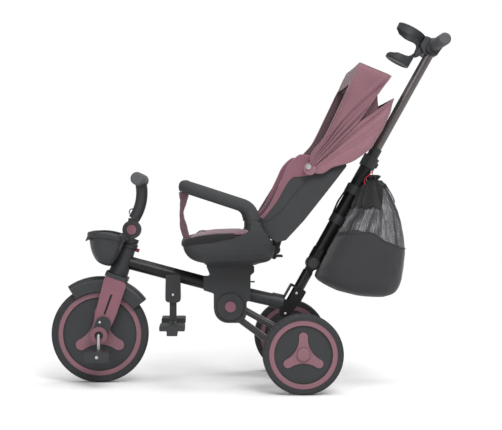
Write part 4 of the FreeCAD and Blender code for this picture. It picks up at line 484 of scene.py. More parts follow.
@dataclass(frozen=True)
class CapPlastic(Plastic):
    """The fork end caps' plastic, with a coloured collar round the crank."""
    radius: float = 21.9
    bore: float = 11.0

    def paint(self, g: Graph, place: Sock, colour: Sock) -> Sock:
        """Colours the collar round the crank.

        Args:
            g: the material's nodes.
            place: the Object coordinates.
            colour: the colour so far.

        Returns:
            The new colour.
        """
        x, _, z = g.axes(place)
        x = x - mm(SHIFT_X)
        z = z - mm(FRONT_WHEEL_R)
        reach = (x * x + z * z).root()
        ring = reach.below(mm(self.radius)) * reach.above(mm(self.bore))
        return g.mix(ring, colour, Tone.PINK.colour(1.0))


@dataclass(frozen=True)
class CoatedMetal:
    """Powder-coated steel tube: satin, with a fine orange peel and rubbed spots."""
    tone: Tone
    roughness: float = 0.34
    peel: float = 0.08
    metallic: float = 0.35

    def make(self, name: str) -> Material:
        """Makes the coated steel.

        Args:
            name: the material's name.

        Returns:
            The material.
        """
        g = Graph(name)
        p = g.place()
        peel = g.noise(p, 420.0, 3.0)
        cloud = g.noise(p, 22.0, 2.0)
        worn = g.noise(p, 75.0, 5.0, 0.75).band(0.68, 0.76)
        colour = g.mix(cloud, self.tone.colour(0.86), self.tone.colour(1.14))
        colour = g.mix(worn * 0.3, colour, Tone.SILVER.colour(0.5))
        rough = self.roughness + (peel - 0.5) * 0.08 + worn * 0.1
        return g.set(Base_Color=colour, Roughness=rough, Metallic=self.metallic,
                     Normal=g.bump(peel, self.peel, 0.5))


@dataclass(frozen=True)
class BareSteel:
    """Bright turned steel with fine lines and dulled patches."""
    tone: Tone = Tone.SILVER
    roughness: float = 0.24

    def make(self, name: str) -> Material:
        """Makes the bright steel.

        Args:
            name: the material's name.

        Returns:
            The material.
        """
        g = Graph(name)
        p = g.place()
        lines = g.noise(p, 1400.0, 1.0)
        dull = g.noise(p, 90.0, 4.0)
        colour = g.mix(dull, self.tone.colour(0.8), self.tone.colour(1.1))
        return g.set(Base_Color=colour, Roughness=self.roughness + dull * 0.2, Metallic=1.0,
                     Normal=g.bump(lines, 0.03, 0.5))


@dataclass(frozen=True)
class TyreFoam:
    """Foam rubber tyre: cross grooves on the tread, a ring on the wall and a fine skin."""
    axle: Vector
    radius: float
    blocks: int = 54
    tone: Tone = Tone.TYRE

    def make(self, name: str) -> Material:
        """Makes the tyre's rubber.

        Args:
            name: the material's name.

        Returns:
            The material.
        """
        g = Graph(name)
        p = g.place()
        x, y, z = g.axes(p)
        dx = x - self.axle.x
        dz = z - self.axle.z
        reach = (dx * dx + dz * dz).root()
        turn = dz.angle(dx) * (self.blocks / tau)
        side = (y - self.axle.y) * (PER_METRE / 9.0)
        slant = turn + side.size() * 0.5
        tread = reach.band(self.radius - mm(7.0), self.radius - mm(3.0))
        groove = slant.fraction().below(0.16).larger((side.size() - 0.72).size().below(0.09))
        wall = (reach - (self.radius - mm(13.0))).size().below(mm(0.7))
        skin = g.noise(p, 1100.0, 3.0)
        cloud = g.noise(p, 30.0, 3.0)
        colour = g.mix(cloud, self.tone.colour(0.8), self.tone.colour(1.2))
        # Painted shade darkens the grooves of the tread.
        colour = g.mix(groove * tread * 0.75, colour, self.tone.colour(0.35))
        dust = tread * g.noise(p, 60.0, 4.0).band(0.45, 0.7)
        colour = g.mix(dust * 0.14, colour, Tone.GRIP.colour(1.1))
        height = skin * 0.12 - groove * tread - wall * 0.6
        return g.set(Base_Color=colour, Roughness=0.72 + cloud * 0.12, Normal=g.bump(height, 1.2, 0.8))


@dataclass(frozen=True)
class Foam:
    """Soft foam sleeve: open fine cells and a dull skin."""
    tone: Tone
    cells: float = 700.0

    def make(self, name: str) -> Material:
        """Makes the foam.

        Args:
            name: the material's name.

        Returns:
            The material.
        """
        g = Graph(name)
        p = g.place()
        pits = g.cells(p, self.cells)
        cloud = g.noise(p, 40.0, 3.0)
        # Painted shade darkens the middle of each open cell.
        colour = g.mix(pits.band(0.1, 0.5), self.tone.colour(0.72), self.tone.colour(1.12))
        colour = g.mix(cloud * 0.4, colour, self.tone.colour(0.85))
        return g.set(Base_Color=colour, Roughness=0.86, Normal=g.bump(pits, 0.35, 0.7))


@dataclass(frozen=True)
class Cloth:
    """Woven cloth on a sheet's own coordinates: weave, faint slubs and dashed seams, with painted shade in
    the weave's dips and the seams' furrows.

    rows are the seams' places across the sheet, in millimetres of its second coordinate. crown is how much
    painted shade darkens the panel between the two sides.
    """
    tone: Tone
    thread: float = 0.9
    rows: tuple = ()
    depth: float = 0.35
    sheen: float = 0.35
    mottle: float = 0.16
    flat: bool = True
    crown: float = 0.0

    def make(self, name: str) -> Material:
        """Makes the cloth.

        Args:
            name: the material's name.

        Returns:
            The material.
        """
        g = Graph(name)
        p = g.place()
        if self.flat:
            u, v, _ = g.axes(g.cut())
        else:
            x, y, z = g.axes(p)
            u = x + z * 0.31
            v = y + z * 0.87
        across = pi * PER_METRE / self.thread
        warp = (u * across).sine()
        weft = (v * across).sine()
        weave = (warp * weft).size()
        slub = g.noise(p, 260.0, 2.0)
        cloud = g.noise(p, 16.0, 4.0)
        colour = g.mix(cloud, self.tone.colour(1 - self.mottle), self.tone.colour(1 + self.mottle))
        # Painted shade darkens the weave's dips.
        colour = g.mix(weave * 0.35, colour, self.tone.colour(0.72))
        colour = g.mix(slub.band(0.55, 0.75) * 0.22, colour, self.tone.colour(1.3))
        height = weave * -0.5 + slub * 0.4
        for row in self.rows:
            near = (v - mm(row)).size()
            dash = (u * (PER_METRE / 5.0)).fraction().below(0.66)
            stitch = near.below(mm(0.7)) * dash
            furrow = 1.0 - near.band(mm(0.6), mm(3.2))
            colour = g.mix(stitch * 0.55, colour, self.tone.colour(1.6))
            # Painted shade darkens the furrow along the seam.
            colour = g.mix(furrow * 0.16, colour, self.tone.colour(0.55))
            height = height - furrow * 1.8 + stitch * 1.2
        # Painted shade: the panel between the two sides is darkened by crown.
        if self.crown:
            _, y, _ = g.axes(p)
            top = 1.0 - y.size().band(mm(141), mm(147))
            colour = g.mix(top * self.crown, colour, self.tone.colour(0.55))
        return g.set(Base_Color=colour, Roughness=0.8 + slub * 0.14, Sheen_Weight=self.sheen,
                     Sheen_Roughness=0.5, Normal=g.bump(height, self.depth, 0.8))


@dataclass(frozen=True)
class Net:
    """Open knitted net: small holes let the light through, fewer where the net is gathered in folds."""
    tone: Tone = Tone.NET
    pitch: float = 3.2
    cover: float = 0.86

    def make(self, name: str) -> Material:
        """Makes the net.

        Args:
            name: the material's name.

        Returns:
            The material.
        """
        g = Graph(name)
        p = g.place()
        u, v, _ = g.axes(g.cut())
        k = pi * PER_METRE / self.pitch
        holes = ((u * k).sine() * (v * k * 0.8).sine()).size().above(0.30)
        along = g.node("ShaderNodeCombineXYZ", None, {0: u * 34.0, 1: v * 5.0, 2: 0.0})
        folds = g.noise(Sock(g, along.outputs[0]), 1.0, 3.0).band(0.50, 0.62)
        # Painted shade darkens the net where it is gathered in folds.
        colour = g.mix(folds, self.tone.colour(1.5), self.tone.colour(0.6))
        alpha = 1.0 - holes * self.cover * (1.0 - folds * 0.8)
        return g.set(Base_Color=colour, Roughness=0.75 + g.noise(p, 60.0) * 0.1, Alpha=alpha,
                     Sheen_Weight=0.1, Normal=g.bump(holes, 0.3, 0.5))


@dataclass(frozen=True)
class Fibre:
    """Braided cord or tape."""
    tone: Tone
    pitch: float = 2.4

    def make(self, name: str) -> Material:
        """Makes the braid.

        Args:
            name: the material's name.

        Returns:
            The material.
        """
        g = Graph(name)
        p = g.place()
        x, y, z = g.axes(p)
        k = tau * PER_METRE / self.pitch
        one = ((x + z) * k + y * k * 0.8).sine()
        two = ((x + z) * k - y * k * 0.8).sine()
        braid = (one * two).size()
        # Painted shade in the braid's dips and painted highlight on its raised strands.
        colour = g.mix(braid, self.tone.colour(0.7), self.tone.colour(1.35))
        return g.set(Base_Color=colour, Roughness=0.82, Normal=g.bump(braid, 0.3, 0.8))


@dataclass(frozen=True)
class Floor:
    """Pale floor that keeps soft shadows near the wheels and fades to plain white away from them."""
    near: float = 0.75
    far: float = 1.5
    share: float = 0.05

    def make(self, name: str) -> Material:
        """Makes the floor's shader.

        Args:
            name: the material's name.

        Returns:
            The material.
        """
        g = Graph(name)
        p = g.place()
        x, y, _ = g.axes(p)
        reach = (x * x + y * y).root()
        speck = g.noise(p, 40.0, 2.0)
        colour = g.mix(speck, (0.82, 0.82, 0.82, 1.0), (0.86, 0.86, 0.86, 1.0))
        g.set(Base_Color=colour, Roughness=0.9 + speck * 0.05, Normal=g.bump(speck, 0.05, 0.1))
        light = g.node("ShaderNodeEmission", None, {"Color": WHITE, "Strength": 1.0})
        glow = reach.band(self.near, self.far) * (1 - self.share) + self.share
        blend = g.node("ShaderNodeMixShader", None, {0: glow})
        g.tree.links.new(g.shader.outputs[0], blend.inputs[1])
        g.tree.links.new(light.outputs[0], blend.inputs[2])
        g.tree.links.new(blend.outputs[0], g.output.inputs["Surface"])
        return g.material


# Mesh tools


class Piece:
    """Mesh building for one visual piece."""

    def __init__(self, name: str) -> None:
        """Starts an empty mesh with a map for flat coordinates."""
        self.name = name
        self.mesh = bmesh.new()
        self.cut = self.mesh.loops.layers.uv.new(UV_NAME)

    def grid(self, rows: Sequence, closed: bool = False) -> list:
        """Faces between rows of points; closed joins each row's end to its start.

        Args:
            rows: rows of points, all of one length.
            closed: whether each row's end joins its start.

        Returns:
            The vertices, row by row.
        """
        verts = [[self.mesh.verts.new(p) for p in row] for row in rows]
        width = [0.0]
        middle = rows[len(rows) // 2]
        ring = list(middle) + ([middle[0]] if closed else [])
        for a, b in zip(ring, ring[1:]):
            width.append(width[-1] + (Vector(b) - Vector(a)).length)
        length = [0.0]
        for above, below in zip(rows, rows[1:]):
            step = sum((Vector(b) - Vector(a)).length for a, b in zip(above, below)) / len(above)
            length.append(length[-1] + step)
        count = len(rows[0]) if closed else len(rows[0]) - 1
        for j in range(len(rows) - 1):
            for i in range(count):
                k = (i + 1) % len(rows[0])
                corners = (verts[j][i], verts[j][k], verts[j + 1][k], verts[j + 1][i])
                face = self.mesh.faces.new(corners)
                face.smooth = True
                flat = ((width[i], length[j]), (width[i + 1], length[j]),
                        (width[i + 1], length[j + 1]), (width[i], length[j + 1]))
                for loop, place in zip(face.loops, flat):
                    loop[self.cut].uv = place
        return verts

    def shell(self, rows: Sequence) -> None:
        """Faces between closed rows of points, with a cap on the first and the last row.

        Args:
            rows: rows of points, all of one length.
        """
        verts = self.grid(rows, closed=True)
        self.cap(verts[0][::-1])
        self.cap(verts[-1])

    def area(self) -> float:
        """The area of all faces in square metres."""
        return sum(face.calc_area() for face in self.mesh.faces)

    def cap(self, ring: list) -> None:
        """Closes a ring of vertices with a fan round its middle.

        Args:
            ring: the vertices round the edge.
        """
        centre = self.mesh.verts.new(sum((v.co for v in ring), Vector()) / len(ring))
        for a, b in zip(ring, ring[1:] + ring[:1]):
            face = self.mesh.faces.new((a, b, centre))
            face.smooth = True
            for loop in face.loops:
                loop[self.cut].uv = (loop.vert.co.x, loop.vert.co.y)

    def tube(self, points: Sequence, radius: float, sides: int = 10, closed: bool = False,
             flatten: float = 1.0) -> None:
        """A round tube along points; flatten squeezes it across its second direction.

        Args:
            points: the points of the line.
            radius: the radius.
            sides: faces round the tube.
            closed: whether the line's end joins its start.
            flatten: how much the second direction is squeezed.
        """
        line = [Vector(p) for p in points]
        rows = []
        across = None
        for i, here in enumerate(line):
            back = line[i - 1] if i or closed else here
            ahead = line[(i + 1) % len(line)] if i < len(line) - 1 or closed else here
            along = (ahead - back).normalized()
            if across is None:
                across = along.orthogonal().normalized()
            across = (across - along * across.dot(along)).normalized()
            up = along.cross(across)
            rows.append([here + (across * cos(tau * k / sides)
                                 + up * (flatten * sin(tau * k / sides))) * radius
                         for k in range(sides)])
        if closed:
            rows.append(rows[0])
        verts = self.grid(rows, closed=True)
        if closed:
            bmesh.ops.remove_doubles(self.mesh, verts=self.mesh.verts[:], dist=JOIN)
        else:
            self.cap(verts[0][::-1])
            self.cap(verts[-1])

    def spun(self, profile: Sequence, centre: Vector, axis: Sequence, steps: int = 40) -> None:
        """A turned piece: profile is (radius, height) pairs along axis from centre.

        Args:
            profile: pairs of radius and height in millimetres.
            centre: where the axis starts.
            axis: the axis's direction.
            steps: points round it.
        """
        axis = Vector(axis).normalized()
        side = axis.orthogonal().normalized()
        up = axis.cross(side)
        rows = [[centre + axis * mm(h) + (side * cos(tau * k / steps)
                                          + up * sin(tau * k / steps)) * mm(r)
                 for k in range(steps)] for r, h in profile]
        self.shell(rows)

    def finish(self, material: Material, body: str | None, slot: str, thick: float = 0.0, levels: int = 0,
               name: str | None = None, inside: Material | None = None) -> Object:
        """Makes the object, thickens and subdivides it, and gives it its material and body.

        Args:
            material: the material to show.
            body: the CAD body that the piece rides on, or None to leave that to the caller.
            slot: the record's material slot; not used.
            thick: the sheet's thickness in millimetres, or 0 for a closed piece.
            levels: subdivision levels.
            name: the object's name, where it isn't the piece's.
            inside: a second material for the side that looks towards the middle plane.

        Returns:
            The object.
        """
        bmesh.ops.recalc_face_normals(self.mesh, faces=self.mesh.faces[:])
        if inside and sum(f.normal.y * f.calc_center_median().y * f.calc_area() for f in self.mesh.faces) < 0:
            bmesh.ops.reverse_faces(self.mesh, faces=self.mesh.faces[:])
        data = bpy.data.meshes.new(name or self.name)
        self.mesh.to_mesh(data)
        self.mesh.free()
        obj = add(name or self.name, data)
        if thick:
            solid = obj.modifiers.new("thickness", "SOLIDIFY")
            solid.thickness = mm(thick)
            solid.offset = 0.0
            if inside:
                data.materials.append(material)
                data.materials.append(inside)
                solid.material_offset = 1
        if levels:
            subdivide = obj.modifiers.new("round", "SUBSURF")
            subdivide.levels = levels
            subdivide.render_levels = levels
        apply_modifiers(obj)
        shade_smooth(obj)
        if not inside:
            obj.data.materials.clear()
            obj.data.materials.append(material)
        if body:
            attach(obj, body)
        LOG.info("%s: %d faces", obj.name, len(obj.data.polygons))
        return obj


def apply_modifiers(obj: Object) -> None:
    """Writes an object's modified shape into its mesh and removes the modifiers.

    Args:
        obj: the object.
    """
    if not obj.modifiers:
        return
    bpy.context.view_layer.update()
    graph = bpy.context.evaluated_depsgraph_get()
    data = bpy.data.meshes.new_from_object(obj.evaluated_get(graph), depsgraph=graph)
    old = obj.data
    obj.modifiers.clear()
    obj.data = data
    data.name = obj.name
    bpy.data.meshes.remove(old)


def shade_smooth(obj: Object) -> None:
    """Shades every face smooth."""
    obj.data.polygons.foreach_set("use_smooth", [True] * len(obj.data.polygons))


def swell(obj: Object, pressure: float = 4.0, cap: float = 8.0, frames: int = 20, voxel: float = 5.0) -> None:
    """Puffs a closed pad with a cloth simulation, with each point's move capped.

    Args:
        obj: a closed mesh object.
        pressure: the cloth's inner pressure.
        cap: the furthest that a point may move, in millimetres.
        frames: simulated frames.
        voxel: the remesh size in millimetres.
    """
    remesh = obj.modifiers.new("even", "REMESH")
    remesh.mode = "VOXEL"
    remesh.voxel_size = mm(voxel)
    apply_modifiers(obj)
    before = [v.co.copy() for v in obj.data.vertices]
    cloth = obj.modifiers.new("pressure", "CLOTH")
    cloth.settings.use_pressure = True
    cloth.settings.uniform_pressure_force = pressure
    cloth.settings.effector_weights.gravity = 0.0
    cloth.settings.quality = 5
    cloth.point_cache.frame_start = 1
    cloth.point_cache.frame_end = frames
    for frame in range(1, frames + 1):
        bpy.context.scene.frame_set(frame)
    graph = bpy.context.evaluated_depsgraph_get()
    shaped = obj.evaluated_get(graph).to_mesh()
    moved = [v.co.copy() for v in shaped.vertices]
    obj.evaluated_get(graph).to_mesh_clear()
    obj.modifiers.clear()
    for vert, old, new in zip(obj.data.vertices, before, moved):
        move = new - old
        if move.length > mm(cap):
            move = move.normalized() * mm(cap)
        vert.co = old + move
    bpy.context.scene.frame_set(1)
    subdivide = obj.modifiers.new("round", "SUBSURF")
    subdivide.levels = 1
    subdivide.render_levels = 1
    apply_modifiers(obj)
    shade_smooth(obj)


# Soft pieces


def reclined(up: float, ahead: float, y: float) -> Vector:
    """A point in the backrest's leaning frame: up along it, ahead of its rear face."""
    lean = radians(Backrest.lean)
    return at(Backrest.x + up * sin(lean) - ahead * cos(lean), y,
              Backrest.z + up * cos(lean) + ahead * sin(lean))


def bar_frame(out: float, y: float, up: float) -> Vector:
    """A point in the push bar's leaning frame: up along it, out to the rear."""
    return at(BAR_X + up * sin(BAR_LEAN) + out * cos(BAR_LEAN), y,
              BAR_Z + up * cos(BAR_LEAN) - out * sin(BAR_LEAN))


@dataclass(frozen=True)
class Pleat:
    """A fold from the snap to the band: its place across at both ends, its width, and its height."""
    low: float
    high: float
    width: float
    depth: float

    def out(self, share: float, far: float) -> float:
        """How far the fold stands out at a place."""
        place = self.low + (self.high - self.low) * smooth_step((far - 0.3) / 0.7)
        gap = (share - place) / self.width
        return self.depth * exp(-gap * gap)


@dataclass
class CanopyPanel:
    """One folded panel of the hood: two sides that meet at the snaps and the band between them."""
    name: str
    node: str
    body: str
    half_y: float
    top_half_y: float
    front: tuple
    rear: tuple
    band: tuple
    pleats: tuple
    corner: float = 20.0
    thick: float = 1.8
    across: int = 60
    snap_x: float = 526.6
    snap_z: float = 554.6
    reach: float = 306.0
    sag: float = 5.0

    def spot(self, share: Sequence) -> Vector:
        """A place of the panel in millimetres, from shares of its reach."""
        return Vector((self.snap_x + self.reach * share[0], self.snap_z + self.reach * share[1]))

    def pleat(self, share: float, far: float) -> float:
        """How far the cloth stands out at a place across the panel and along a fold."""
        out = sum(fold.out(share, far) for fold in self.pleats)
        return out * min(1.0, far * 3.0 + 0.15) * (1.0 - 0.6 * smooth_step((far - 0.8) / 0.2))

    def build(self, material: Material, hem: Material, lining: Material) -> list[Object]:
        """Makes the sheet and its hems.

        Args:
            material: the cloth.
            hem: the cloth of the bound edges.
            lining: the cloth of the inner side.

        Returns:
            The sheet and the hem objects.
        """
        along = 24
        front = even(spline([self.spot(s) for s in self.front], 80), along)
        rear = even(spline([self.spot(s) for s in self.rear], 80), along)
        band = even([self.spot(s) for s in self.band], self.across)
        rows = []
        for j in range(self.across):
            v = j / (self.across - 1)
            miss = band[j] - front[-1].lerp(rear[-1], v)
            line = [front[i].lerp(rear[i], v) + miss * (i / (along - 1)) ** 1.6 for i in range(along)]
            out_way = (line[-1] - line[-3]).normalized()
            near = []
            for i, spot in enumerate(line[:-2]):
                far = i / (along - 1)
                half = self.half_y + (self.top_half_y - self.half_y) * far
                wave = noise.noise(Vector((far * 3.0, v * 6.0, self.half_y))) * 1.6 * far
                near.append((spot, half + self.pleat(v, far) + wave))
            end = line[-1]
            half = self.top_half_y + self.pleat(v, 1.0)
            r = self.corner
            for k in range(6):
                a = radians(90 * k / 5)
                near.append((end - out_way * (r - r * sin(a)), half - (r - r * cos(a))))
            flat = half - r
            top = []
            for k in range(1, 16):
                t = k / 16
                y = flat * (1 - 2 * t)
                drop = self.sag * sin(pi * t) * (0.6 + 0.4 * sin(v * pi * 3))
                top.append((end - out_way * drop, y))
            row = [at(s.x, -h, s.y) for s, h in near]
            row += [at(s.x, -h, s.y) for s, h in top]
            row += [at(s.x, h, s.y) for s, h in reversed(near)]
            rows.append(row)
        sheet = Piece(self.name)
        sheet.grid(rows)
        area = sheet.area()
        panel = sheet.finish(material, self.body, "hood_fabric", thick=self.thick, levels=1, inside=lining)
        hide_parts(self.node)
        hems = []
        for end, index in (("front", 0), ("rear", -1)):
            edge = Piece(self.name + "_hem_" + end)
            edge.tube(rows[index][1:-1], mm(2.1), sides=8, flatten=0.8)
            hems.append(edge.finish(hem, self.body, "hood_fabric"))
        middle = rows[len(rows) // 2]
        length = length_of(middle)
        broad = max(area / length * 1.15, mm(120))
        area * 1.01
        LOG.info("%s: %.2f square metres", self.name, area)
        return [panel] + hems


@dataclass
class Canopy:
    """The folded hood: a standing front panel, a middle fold and a lower rear panel."""
    front_shares: tuple = ((0.01, 0.02), (0.035, 0.118), (0.127, 0.229), (0.247, 0.471), (0.352, 0.692))
    front_rear: tuple = ((0.02, -0.02), (0.20, 0.16), (0.40, 0.36), (0.571, 0.60), (0.681, 0.742))
    front_band: tuple = ((0.352, 0.692), (0.397, 0.798), (0.425, 0.852), (0.653, 0.758), (0.681, 0.742))
    rear_front: tuple = ((0.02, 0.01), (0.197, 0.16), (0.376, 0.325), (0.514, 0.42), (0.705, 0.555))
    rear_rear: tuple = ((0.015, -0.04), (0.116, -0.051), (0.2, 0.0), (0.36, 0.047), (0.523, 0.161))
    rear_band: tuple = ((0.705, 0.555), (0.69, 0.50), (0.677, 0.445), (0.612, 0.299), (0.523, 0.161))
    fold_half: float = 141.0
    lining_half: float = 147.0
    tab_half: float = 152.4

    TAB = ((0.4, 0.0), (15.4, 0.0), (16.0, 0.4), (15.0, 0.9), (8.0, 2.2), (0.4, 2.6))

    def build(self, finishes: "Finishes") -> None:
        """Makes both panels, the fold between them, the lining along the front and the tabs.

        Args:
            finishes: the tricycle's materials.
        """
        front = CanopyPanel(
            "canopy_front", "hood_front", "hood_front_panel", 154.0, 150.0,
            self.front_shares, self.front_rear, self.front_band,
            (Pleat(0.02, 0.0, 0.05, 2.5), Pleat(0.20, 0.35, 0.16, 3.0), Pleat(0.42, 0.93, 0.022, 3.2),
             Pleat(0.49, 1.02, 0.03, -7.0), Pleat(0.585, 1.06, 0.025, 2.5), Pleat(0.65, 1.1, 0.025, -4.0),
             Pleat(0.75, 1.1, 0.04, 3.5), Pleat(0.85, 1.15, 0.03, -5.0)))
        rear = CanopyPanel(
            "canopy_rear", "hood_rear", "hood_rear_panel", 147.6, 146.0,
            self.rear_front, self.rear_rear, self.rear_band,
            (Pleat(0.10, 0.02, 0.04, 2.0), Pleat(0.24, 0.10, 0.05, -4.5), Pleat(0.40, 0.25, 0.08, 2.5),
             Pleat(0.62, 0.55, 0.05, -1.5)))
        front.build(finishes.hood_front, finishes.hem, finishes.hood_inside)
        rear.build(finishes.hood, finishes.hem, finishes.hood_inside)
        self.middle_fold(front, finishes.hood_front)
        self.visor(front, finishes.hood_inside)
        self.tabs(front, finishes.hood)

    def tabs(self, panel: "CanopyPanel", cloth: Material) -> None:
        """The round ends of the cloth under the snaps.

        Args:
            panel: the front panel.
            cloth: the cloth.
        """
        for side, word in SIDES:
            tab = Piece("canopy_tab_" + word)
            centre = at(panel.snap_x + 4.5, side * self.tab_half, panel.snap_z - 5.5)
            tab.spun(self.TAB, centre, (0, side, 0), steps=48)
            tab.finish(cloth, "hood_front_panel", "hood_fabric")

    def middle_fold(self, panel: "CanopyPanel", cloth: Material) -> None:
        """The cloth that folds down inside between the two panels.

        Args:
            panel: the front panel.
            cloth: the cloth.
        """
        outer = [panel.spot(s) for s in ((0.12, 0.06), (0.32, 0.27), (0.50, 0.47), (0.565, 0.595))]
        inner = [panel.spot(s) for s in ((0.13, 0.04), (0.34, 0.22), (0.50, 0.38), (0.575, 0.475))]
        rows = []
        for share in (0.0, 0.25, 0.5, 0.75, 1.0):
            side = [a.lerp(b, share) for a, b in zip(spline(outer, 24), spline(inner, 24))]
            tuck = 7.0 * sin(pi * share)
            half = self.fold_half
            row = [at(s.x, -(half - tuck * i / 24), s.y) for i, s in enumerate(side)]
            end = side[-1]
            row += [at(end.x - tuck * 0.5, 2 * half * k / 12 - half, end.y) for k in range(1, 12)]
            row += [at(s.x, half - tuck * (24 - i) / 24, s.y) for i, s in enumerate(reversed(side))]
            rows.append(row)
        fold = Piece("canopy_middle_fold")
        fold.grid(rows)
        area = fold.area()
        piece = fold.finish(cloth, panel.body, "hood_fabric", thick=1.2)
        length = length_of(rows[2])
        max(area / length, mm(20)) * 1.35
        area * 1.07

    def visor(self, panel: "CanopyPanel", lining: Material) -> None:
        """The dark lining that shows inside the front edge.

        Args:
            panel: the front panel.
            lining: the cloth of the inner side.
        """
        front = even(spline([panel.spot(s) for s in self.front_shares], 60), 26)
        rows = []
        for k in range(4):
            inset = 2.5 + 5.5 * k
            half = self.lining_half
            side = half - 0.6 * k
            row = [at(s.x + inset * 0.9, -side, s.y - inset * 0.4) for s in front[2:]]
            end = front[-1]
            row += [at(end.x + inset, 2 * half * j / 14 - half, end.y - 4 - inset * 0.5)
                    for j in range(1, 14)]
            row += [at(s.x + inset * 0.9, side, s.y - inset * 0.4) for s in reversed(front[2:])]
            rows.append(row)
        strip = Piece("canopy_lining")
        strip.grid(rows)
        area = strip.area()
        piece = strip.finish(lining, panel.body, "bag_fabric", thick=1.0)
        length = length_of(rows[1])
        max(area / length, mm(18)) * 1.35
        area * 1.07


@dataclass
class SeatCushion:
    """Low seat cushion with a piped edge, two sewn channels and a raised middle, in a dark padded liner."""
    front: float = 236.0
    rear: float = 397.0
    half_y: float = 130.0
    low: float = 350.0
    rim: float = 384.5
    crown: float = 5.5
    ring_count: int = 84
    shell_front: float = 215.5
    shell_half: float = 151.3
    shell_corner: float = 40.0

    FALL = ((236, -9.5), (252, -6.5), (279, -2.5), (304, -0.5), (333, 1.0), (365, 1.0), (397, 0.0))
    SKIRT = ((216, 356), (245, 361), (279, 365), (311, 369), (335, 372))
    TOP = ((216, 373.5), (238, 378.5), (252, 381.0), (279, 385.0), (304, 387.5), (335, 388.5))

    def ring(self, draw: float, z: float) -> list[Vector]:
        """A rounded outline drawn in by an amount, at a height.

        Args:
            draw: how far the outline is drawn in.
            z: millimetres above the floor.

        Returns:
            The points.
        """
        middle = (self.front + self.rear) / 2
        half_x = (self.rear - self.front) / 2 - draw
        half_y = self.half_y - draw
        points = []
        for k in range(self.ring_count):
            a = tau * k / self.ring_count
            c, s = cos(a), sin(a)
            x = copysign(abs(c) ** 0.5, c) * half_x
            y = copysign(abs(s) ** 0.5, s) * half_y
            pull = 3.0 * sin(2 * a) ** 2 - 3.0
            points.append(at(middle + x * (1 + pull / 200), y * (1 + pull / 200), z))
        return points

    def settle(self, points: Sequence) -> list[Vector]:
        """Lowers points towards the front, as the seat's surface falls there.

        Args:
            points: the points of the line.

        Returns:
            The same points.
        """
        for p in points:
            if p.z > mm(self.low + 6):
                p.z += mm(table(self.FALL, p.x * PER_METRE - SHIFT_X))
        return points

    def build(self, finishes: "Finishes") -> None:
        """Makes the cushion, its piping, the liner and the harness loop.

        Args:
            finishes: the tricycle's materials.
        """
        rows = []
        for draw, z in ((14, self.low), (4, self.low + 2), (0, self.low + 8), (1.5, self.low + 20),
                        (0, self.rim - 3), (1, self.rim + 1)):
            rows.append(self.settle(self.ring(draw, z)))
        for k in range(1, 9):
            a = radians(90 * k / 8)
            rows.append(self.settle(self.ring(2 + 60 * (1 - cos(a)), self.rim + 2
                                              + self.crown * sin(a))))
        pad = Piece("seat_pad")
        pad.shell(rows)
        cushion = pad.finish(finishes.seat, None, "seat_fabric")
        swell(cushion, pressure=2.0, cap=3.5)
        for vert in cushion.data.vertices:
            p = vert.co
            if p.z > mm(self.rim - 12):
                y = abs(p.y) * PER_METRE
                x = p.x * PER_METRE - SHIFT_X
                inside = smooth_step((x - self.front - 22) / 10) * smooth_step((self.rear - 8 - x) / 8)
                groove = exp(-((y - 62) / 3.2) ** 2) * inside
                cross = exp(-((x - self.front - 34) / 3.2) ** 2) * smooth_step((70 - y) / 10)
                p.z -= mm(4.5 * max(groove, cross))
                p.z += mm(1.0) * noise.noise(p * 28.0)
        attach(cushion, "seat")
        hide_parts("seat_cushion")
        edge = Piece("seat_piping")
        edge.tube(self.settle(self.ring(-0.5, self.rim + 0.5)), mm(2.6), sides=8, closed=True)
        edge.finish(finishes.hem, "seat", "hood_fabric")
        self.liner(finishes.lining)
        self.harness_loop(finishes.lining)

    def outline(self, out: float) -> list[tuple]:
        """The shell's front and sides seen from above, as (x, y) pairs from far to near.

        Args:
            out: how far it stands out, in millimetres.

        Returns:
            The pairs.
        """
        r = self.shell_corner
        edge = [(345.0, self.shell_half + out)]
        edge += [(345.0 - 10.0 * k, self.shell_half + out) for k in range(1, 9)]
        for k in range(9):
            a = radians(90 * k / 8)
            edge.append((self.shell_front + r - (r + out) * sin(a),
                         self.shell_half - r + (r + out) * cos(a)))
        side = edge + [(self.shell_front - out, y) for y in (88, 66, 44, 22)]
        return side + [(self.shell_front - out, 0.0)] + [(x, -y) for x, y in reversed(side)]

    def liner(self, cloth: Material) -> None:
        """The soft dark edge that covers the shell's rim and holds the cushion.

        Args:
            cloth: the cloth.
        """
        profile = ((0.4, 0.0), (2.4, 0.06), (3.4, 0.3), (3.2, 0.6), (1.2, 0.86), (-3.0, 0.99), (-9.0, 1.02),
                   (-16.0, 1.0), (-24.0, 0.93), (-27.0, 0.7))
        rings = []
        for out, share in profile:
            row = []
            for k, (x, y) in enumerate(self.outline(out)):
                base = self.outline(0.0)[k][0]
                low, high = table(self.SKIRT, base), table(self.TOP, base)
                z = low + (high - low) * share
                z += 0.9 * noise.noise(Vector((x * 0.03, y * 0.03, share * 2.0)))
                row.append(at(x, y, z))
            rings.append(row)
        soft = Piece("seat_liner")
        soft.grid(rings)
        area = soft.area()
        length = length_of(rings[5])
        piece = soft.finish(cloth, "seat", "bag_fabric", thick=1.8, levels=1)
        area / length * 1.2

    def harness_loop(self, cloth: Material) -> None:
        """The small loop of webbing that stands out of the cushion near its front.

        Args:
            cloth: the cloth.
        """
        path = [(247, 0, 377), (251, 0, 386), (259, 0, 391.5), (269, 0, 392.5), (278, 0, 390), (284, 0, 384)]
        rows = []
        for p in spline(path, 22):
            rows.append([at(p.x, y, p.z) for y in (-10, -5, 0, 5, 10)])
        loop = Piece("harness_loop")
        loop.grid(rows)
        loop.finish(cloth, "seat", "bag_fabric", thick=1.8)


